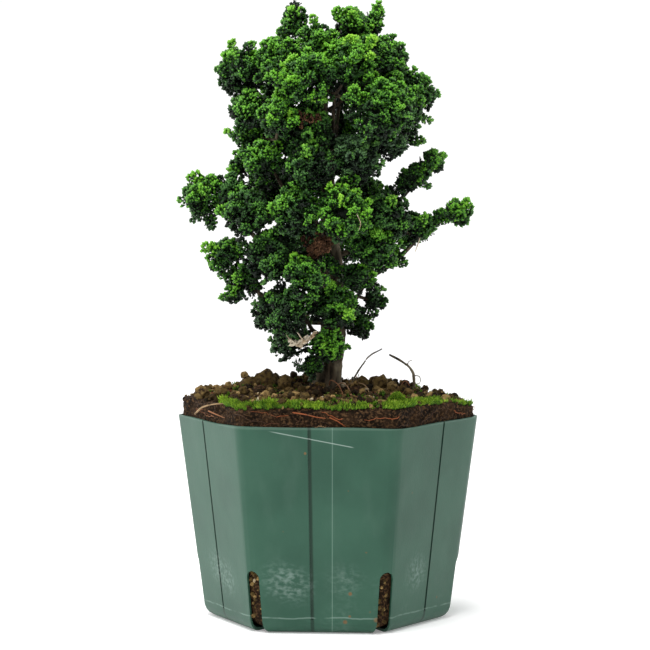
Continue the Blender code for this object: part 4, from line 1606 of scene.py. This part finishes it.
    def slit_grit(self) -> Shell:
        """Grit that shows in the slits at the pot's lower corners.

        Returns:
            The grit.
        """
        draw = np.random.default_rng(self.seed + 4)
        shapes = [self.stone(draw, 1) for _ in range(4)]
        shells, count = [], self.slit_grains
        for corner in range(6):
            turn = -math.pi / 3 + POT_TURN + math.tau * corner / 6
            heights = draw.uniform(4.0, 42.0, count)
            reach = self.flat_distance(heights) * self.outline(np.array([turn]))[0]
            reach -= draw.uniform(0.4, 1.6, count)
            aside = draw.uniform(-3.0, 3.0, count)
            places = np.stack([reach * math.cos(turn) - aside * math.sin(turn),
                               reach * math.sin(turn) + aside * math.cos(turn), heights], axis=1)
            frames = self.random_frames(count, draw) * (draw.uniform(0.6, 1.7, count) * MM)[:, None, None]
            values = np.zeros((count, 3))
            values[:, 1] = draw.random(count) ** 0.9
            shells += scattered(shapes, draw.integers(0, len(shapes), count), frames, places * MM, values)
        return Shell.joined(shells)

    @staticmethod
    def random_frames(count: int, draw: np.random.Generator) -> np.ndarray:
        """Random turns, as 3 by 3 matrices, slightly squashed.

        Args:
            count: How many.
            draw: The random draws.

        Returns:
            The matrices.
        """
        first = unit(draw.normal(0, 1, (count, 3)))
        second = unit(np.cross(first, draw.normal(0, 1, (count, 3))))
        third = np.cross(first, second)
        return np.stack([first * 1.15, second, third * 0.8], axis=2)

    @staticmethod
    def stone(draw: np.random.Generator, level: int) -> Shell:
        """A lumpy stone of about unit radius.

        Args:
            draw: The random draws.
            level: How finely it is divided.

        Returns:
            The stone.
        """
        shape = bmesh.new()
        bmesh.ops.create_icosphere(shape, subdivisions=level, radius=1.0)
        shape.verts.ensure_lookup_table()
        points = np.array([v.co for v in shape.verts])
        faces = np.array([[v.index for v in f.verts] for f in shape.faces])
        shape.free()
        points *= (1 + draw.uniform(-0.20, 0.20, len(points)))[:, None] * draw.uniform(0.78, 1.2, 3)
        return Shell(points, faces, np.zeros(points.shape))

    def moss(self) -> Shell:
        """Tufts of moss: a thick band along the front edge, patches elsewhere and one taller cushion.

        Returns:
            All the moss.
        """
        draw = np.random.default_rng(self.seed + 1)
        edge_count, inner_count, cushion_count = self.moss_counts
        edge = self.spots(edge_count, 0.905, 0.972, draw)
        edge = edge[edge[:, 2] > 119.5]
        front = smoothstep(0.0, -35.0, edge[:, 1])
        left_gap = 1 - smoothstep(-54.0, -60.0, edge[:, 0])
        patchy = smoothstep(-0.42, 0.22, self.noise.layered(edge, 7.0) + 0.30 * front)
        edge = edge[draw.random(len(edge)) < (0.16 + 0.84 * front) * left_gap * patchy]
        inner = self.spots(inner_count, 0.15, 0.92, draw)
        inner = inner[self.noise.layered(inner, 13.0) > 0.18 - 0.16 * smoothstep(-30.0, -62.0, inner[:, 1])]
        inner = inner[np.hypot(inner[:, 0] + 1, inner[:, 1]) > 11.0]
        turn, share = draw.uniform(0, math.tau, cushion_count), np.sqrt(draw.random(cushion_count))
        foot, size = self.cushion
        dome = np.stack([share * np.cos(turn), share * np.sin(turn), 1 - share**2], axis=1)
        cushion = foot + dome * size
        spots = np.concatenate([edge, inner, cushion])
        groups = [len(edge), len(inner), len(cushion)]
        tall = np.repeat(self.moss_heights, groups) * draw.uniform(0.6, 1.3, len(spots))
        tall *= 0.85 + 0.45 * self.noise.at(spots, 5.0)
        spots[:, 2] -= 0.1
        outward = np.stack([spots[:, 0] * 0.006, spots[:, 1] * 0.006, np.ones(len(spots))], axis=1)
        lean = unit(outward + draw.normal(0, 0.16, spots.shape))
        across = unit(np.cross(lean, unit(draw.normal(0, 1, spots.shape))))
        frames = np.stack([across, np.cross(lean, across), lean], axis=2) * (tall * MM)[:, None, None]
        values = np.zeros((len(spots), 3))
        bright = np.repeat(self.moss_lifts, groups)
        values[:, 1] = bright + draw.normal(0, 0.2, len(spots)) + 0.3 * self.noise.layered(spots, 6.0)
        return self.tuft(draw).copies(frames, spots * MM, values)

    @staticmethod
    def tuft(draw: np.random.Generator) -> Shell:
        """One small tuft of pointed moss blades, about 2.6 mm tall.

        Args:
            draw: The random draws.

        Returns:
            The tuft.
        """
        points, faces, shades = [], [], []
        for k in range(8):
            turn = math.tau * k / 8 + draw.uniform(-0.3, 0.3)
            out = np.array((math.cos(turn), math.sin(turn), 0.0))
            across = np.array((-math.sin(turn), math.cos(turn), 0.0)) * 0.19
            height = draw.uniform(1.6, 3.1)
            start = len(points)
            knee = (out + UP * height) * 0.55
            points += [out * 0.15 - across, out * 0.15 + across, knee + across * 0.9, knee - across * 0.9,
                       out * draw.uniform(0.5, 1.2) + UP * height]
            faces += [(start + a, start + b, start + c) for a, b, c in ((0, 1, 2), (0, 2, 3), (3, 2, 4))]
            shades += [0.0, 0.0, 0.6, 0.6, 1.0]
        values = np.zeros((len(points), 3))
        values[:, 0] = shades
        return Shell(np.array(points), np.array(faces), values)

    def roots(self) -> Shell:
        """Fine roots over the block's bare sides and top, and a few that stand out.

        Returns:
            All the roots.
        """
        draw = np.random.default_rng(self.seed + 2)
        shells = []
        for _ in range(self.threads):
            turn = draw.uniform(0, math.tau)
            length = draw.uniform(6, 22) / 80
            turns = turn + np.cumsum(np.abs(draw.normal(length / 14, length / 20, 14)) * draw.choice((-1, 1)))
            heights = draw.uniform(116, 123) + np.cumsum(draw.normal(draw.uniform(-0.5, 0.4), 0.5, 14))
            heights = np.clip(heights, 115.5, 124)
            reach = self.flat_distance(heights) * self.outline(turns) + draw.uniform(0.0, 0.7)
            line = np.stack([reach * np.cos(turns), reach * np.sin(turns), heights], axis=1)
            radius = draw.uniform(0.12, 0.26)
            radii = np.linspace(radius, radius * 0.5, 14) * MM
            shells.append(tube(line * MM, radii, 5, draw.random() ** 2.5))
        for radius, shade, line in self.seen_roots:
            shells.append(thread(line, 26, (radius, radius * 0.45), 6, shade))
        for _ in range(self.threads):
            start = self.spots(1, 0.2, 0.9, draw)[0]
            way = draw.uniform(0, math.tau) + np.cumsum(draw.normal(0, 0.35, 12))
            step = draw.uniform(0.8, 2.2)
            x, y = start[0] + np.cumsum(np.cos(way)) * step, start[1] + np.cumsum(np.sin(way)) * step
            if (np.hypot(x, y) > 72).any():
                continue
            arch = 0.3 + draw.uniform(0, 1.2) * np.sin(np.linspace(0, 3.1, 12))
            line = np.stack([x, y, self.top_of(x, y) + arch], axis=1)
            radius = draw.uniform(0.2, 0.5)
            shells.append(tube(line * MM, np.linspace(radius, radius * 0.4, 12) * MM, 5, draw.random()))
        return Shell.joined(shells)

    def top_of(self, x: np.ndarray, y: np.ndarray) -> np.ndarray:
        """The soil's height under each point, of the packed soil or, once it is made, of the finished block.

        Args:
            x: Places in mm.
            y: Places in mm.

        Returns:
            Heights in mm.
        """
        starts = [Vector((px * MM, py * MM, 0.2)) for px, py in zip(x, y)]
        hits = [self.tree.ray_cast(start, Vector((0, 0, -1)))[0] for start in starts]
        return np.array([hit.z / MM if hit is not None else self.edge_top for hit in hits])


@dataclass
class DryScraps:
    """Dry bits caught in the leaves, in mm: a pale curled scrap, stalks and dead fans.

    The scrap is a sheet between a low and a high curve. A stalk's entry is its radius and places.
    """

    scrap_low: Line = ((-20.7, -37.5, 157.0), (-13.6, -40.5, 157.5), (-6.6, -41.0, 163.5))
    scrap_high: Line = ((-22.7, -36.0, 160.5), (-13.1, -39.0, 161.5), (-5.6, -39.0, 166.0))
    scrap_size: tuple[int, int] = (7, 18)
    stalks: tuple[tuple[float, Line], ...] = (
        (0.40, ((-14, -39.5, 161), (-16, -40.5, 164), (-18.5, -41.5, 167.5), (-20, -41, 171))),
        (0.30, ((-18, -39.5, 159), (-21.5, -39, 161.5), (-24, -37, 166))),
        (0.45, ((52, -10, 218), (51.5, -11, 214.5), (50.5, -11, 211.5), (49.5, -10.5, 208.5))),
        (0.30, ((16, -58, 231), (18, -59.5, 226), (17, -59, 222))),
    )
    dead_tufts: Line = ((-14, -40, 283), (-9, -40, 284), (-5, -39, 285))

    def build(self) -> None:
        """Makes the scrap with its stalks, and the dead fans."""
        stalks = [thread(line, 14, (radius, radius * 0.6), 5, 0.95) for radius, line in self.stalks]
        straw = Shell.joined([self.scrap(), *stalks])
        straw.make_object("dry_scrap", Materials.straw())
        self.fans().make_object("dead_fans", Materials.dead_leaves())

    def scrap(self) -> Shell:
        """The pale scrap: two rows of points carried as smooth curves, waved across, with a thin thickness.

        Returns:
            The scrap's closed shell.
        """
        rows, steps = self.scrap_size
        low, high = (smooth_line(np.array(line), steps) for line in (self.scrap_low, self.scrap_high))
        share = np.linspace(0, 1, rows)[:, None, None]
        sheet = low[None] * (1 - share) + high[None] * share
        sheet[:, :, 1] -= 1.3 * np.sin(np.linspace(0, 9, steps))[None] * (share[:, :, 0] - 0.3)
        sheet[:, :, 2] += 1.3 * np.sin(np.linspace(0, 17, steps))[None] * (share[:, :, 0] - 0.35)
        sheet += 0.55 * np.random.default_rng(31).normal(0, 1, sheet.shape)
        front = sheet.reshape(-1, 3)
        points = np.concatenate([front, front + (0.0, 0.35, 0.05)])
        number = np.arange(rows * steps).reshape(rows, steps)
        cell = number[:-1, :-1].ravel()
        quads = np.stack([cell, cell + 1, cell + steps + 1, cell + steps], axis=1)
        rim = np.concatenate([number[0], number[1:, -1], number[-1, -2::-1], number[-2:0:-1, 0]])
        after, back = np.roll(rim, -1), len(front)
        faces = [quads[:, corners] for corners in ([0, 1, 2], [0, 2, 3])]
        faces += [quads[:, corners] + back for corners in ([0, 2, 1], [0, 3, 2])]
        faces += [np.stack([rim, rim + back, after + back], axis=1)]
        faces += [np.stack([rim, after + back, after], axis=1)]
        values = np.zeros(points.shape)
        values[:, 1] = 1.4
        return Shell(points * MM, np.concatenate(faces), values)

    def fans(self) -> Shell:
        """Small dead fans among the green ones.

        Returns:
            The fans.
        """
        draw = np.random.default_rng(29)
        shape = FanShape(FanSizes(length=6.5), 3).shell()
        tufts = np.repeat(np.array(self.dead_tufts, float), 3, axis=0)
        places = tufts + draw.normal(0, 0.8, tufts.shape)
        growing = unit(draw.normal(0, 0.45, places.shape) + (0.0, -0.9, -0.25))
        across = unit(np.cross(growing, draw.normal(0, 1, places.shape)))
        frames = np.stack([across, growing, np.cross(across, growing)], axis=2) * 0.72 * MM
        return shape.copies(frames, places * MM, np.zeros(places.shape))


@dataclass(frozen=True)
class Studio:
    """The floor, light and camera, in metres."""

    camera_place: Point = (-0.0014, -1.600, 0.275)
    camera_down: float = 3.887
    lens: float = 156.4
    sky: float = 0.34
    floor_glow: float = 0.22
    half_width: float = 4.0
    front_edge: float = -3.0
    sweep_back: float = 1.6
    sweep_radius: float = 0.8
    sweep_height: float = 3.0
    aim: Point = (0.0, 0.0, 0.18)
    lights: tuple[tuple[str, Point, float, float], ...] = (
        ("top", (-0.25, -0.45, 1.7), 1.0, 31.5),
        ("left_back", (-1.30, 0.75, 0.75), 1.1, 15.0),
        ("right_back", (1.35, 0.80, 0.70), 1.0, 8.0),
        ("front", (-0.6, -2.2, 1.2), 0.7, 10.0),
    )

    def build(self) -> None:
        """Makes the backdrop, the lights, the sky and the camera."""
        self.backdrop()
        for name, place, size, power in self.lights:
            self.area(name, place, size, power)
        world = bpy.data.worlds.new("studio")
        world.use_nodes = True
        world.node_tree.nodes["Background"].inputs[0].default_value = (1.0, 1.0, 1.0, 1.0)
        world.node_tree.nodes["Background"].inputs[1].default_value = self.sky
        bpy.context.scene.world = world
        bpy.context.scene.view_settings.view_transform = "Standard"
        data = bpy.data.cameras.new("camera")
        data.lens = self.lens
        data.sensor_width = 36.0
        data.clip_end = 50.0
        data.dof.use_dof = False
        camera = bpy.data.objects.new("camera", data)
        camera.location = self.camera_place
        camera.rotation_euler = (math.radians(90 - self.camera_down), 0.0, 0.0)
        bpy.context.scene.collection.objects.link(camera)
        bpy.context.scene.camera = camera

    def backdrop(self) -> None:
        """A pale floor that curves up into a wall behind the plant."""
        turn = np.linspace(0, math.pi / 2, 16)
        radius = self.sweep_radius
        rise = self.sweep_back + radius * np.sin(turn)
        y = np.concatenate([[self.front_edge], rise, [self.sweep_back + radius]])
        z = np.concatenate([[0.0], radius * (1 - np.cos(turn)), [self.sweep_height]])
        left = np.stack([np.full(len(y), -self.half_width), y, z], axis=1)
        right = left * (-1, 1, 1)
        faces = [(k, k + 1, len(y) + k + 1, len(y) + k) for k in range(len(y) - 1)]
        mesh = bpy.data.meshes.new("floor")
        mesh.from_pydata(np.concatenate([left, right]).tolist(), [], [face[::-1] for face in faces])
        mesh.polygons.foreach_set("use_smooth", np.full(len(faces), True))
        graph = Graph("floor_pale", Finish(0.9, 0.1))
        graph.shader.inputs["Emission Color"].default_value = (1.0, 1.0, 1.0, 1.0)
        graph.shader.inputs["Emission Strength"].default_value = self.floor_glow
        mesh.materials.append(graph.finished((0.93, 0.93, 0.93)))
        floor = bpy.data.objects.new("floor", mesh)
        bpy.context.scene.collection.objects.link(floor)

    def area(self, name: str, place: Point, size: float, power: float) -> None:
        """A square soft light aimed at the plant's middle.

        Args:
            name: The light's name.
            place: Where it hangs.
            size: Its side.
            power: Its power in watts.
        """
        data = bpy.data.lights.new(name, "AREA")
        data.size = size
        data.energy = power
        light = bpy.data.objects.new(name, data)
        light.location = place
        light.rotation_euler = (Vector(self.aim) - Vector(place)).to_track_quat("-Z", "Y").to_euler()
        bpy.context.scene.collection.objects.link(light)


def dress_pot(node: bpy.types.Object) -> None:
    """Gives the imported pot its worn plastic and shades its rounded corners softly.

    Args:
        node: The pot's object.
    """
    node.data.materials.clear()
    node.data.materials.append(PotPlastic(PotMarks()).build())
    node.data.shade_smooth()
    joined = node.modifiers.new("joined", "WELD")
    joined.merge_threshold = 0.01 * MM
    parted = node.modifiers.new("sharp_edges", "EDGE_SPLIT")
    parted.split_angle = math.radians(34)
    evened = node.modifiers.new("even_shading", "WEIGHTED_NORMAL")
    evened.keep_sharp = True


def main() -> None:
    """Dresses the part and sets up the studio."""
    logging.basicConfig(level=logging.INFO)
    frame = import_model()
    for old in [o for o in bpy.data.objects if o.name in ("Cube", "Light", "Camera")]:
        bpy.data.objects.remove(old)
    nodes = frame["nodes"]
    dress_pot(nodes["pot"])
    RootBall(nodes["soil"]).build()
    Wood().build(nodes)
    Foliage(nodes).build()
    DryScraps().build()
    Studio().build()


if __name__ == "__main__":
    main()
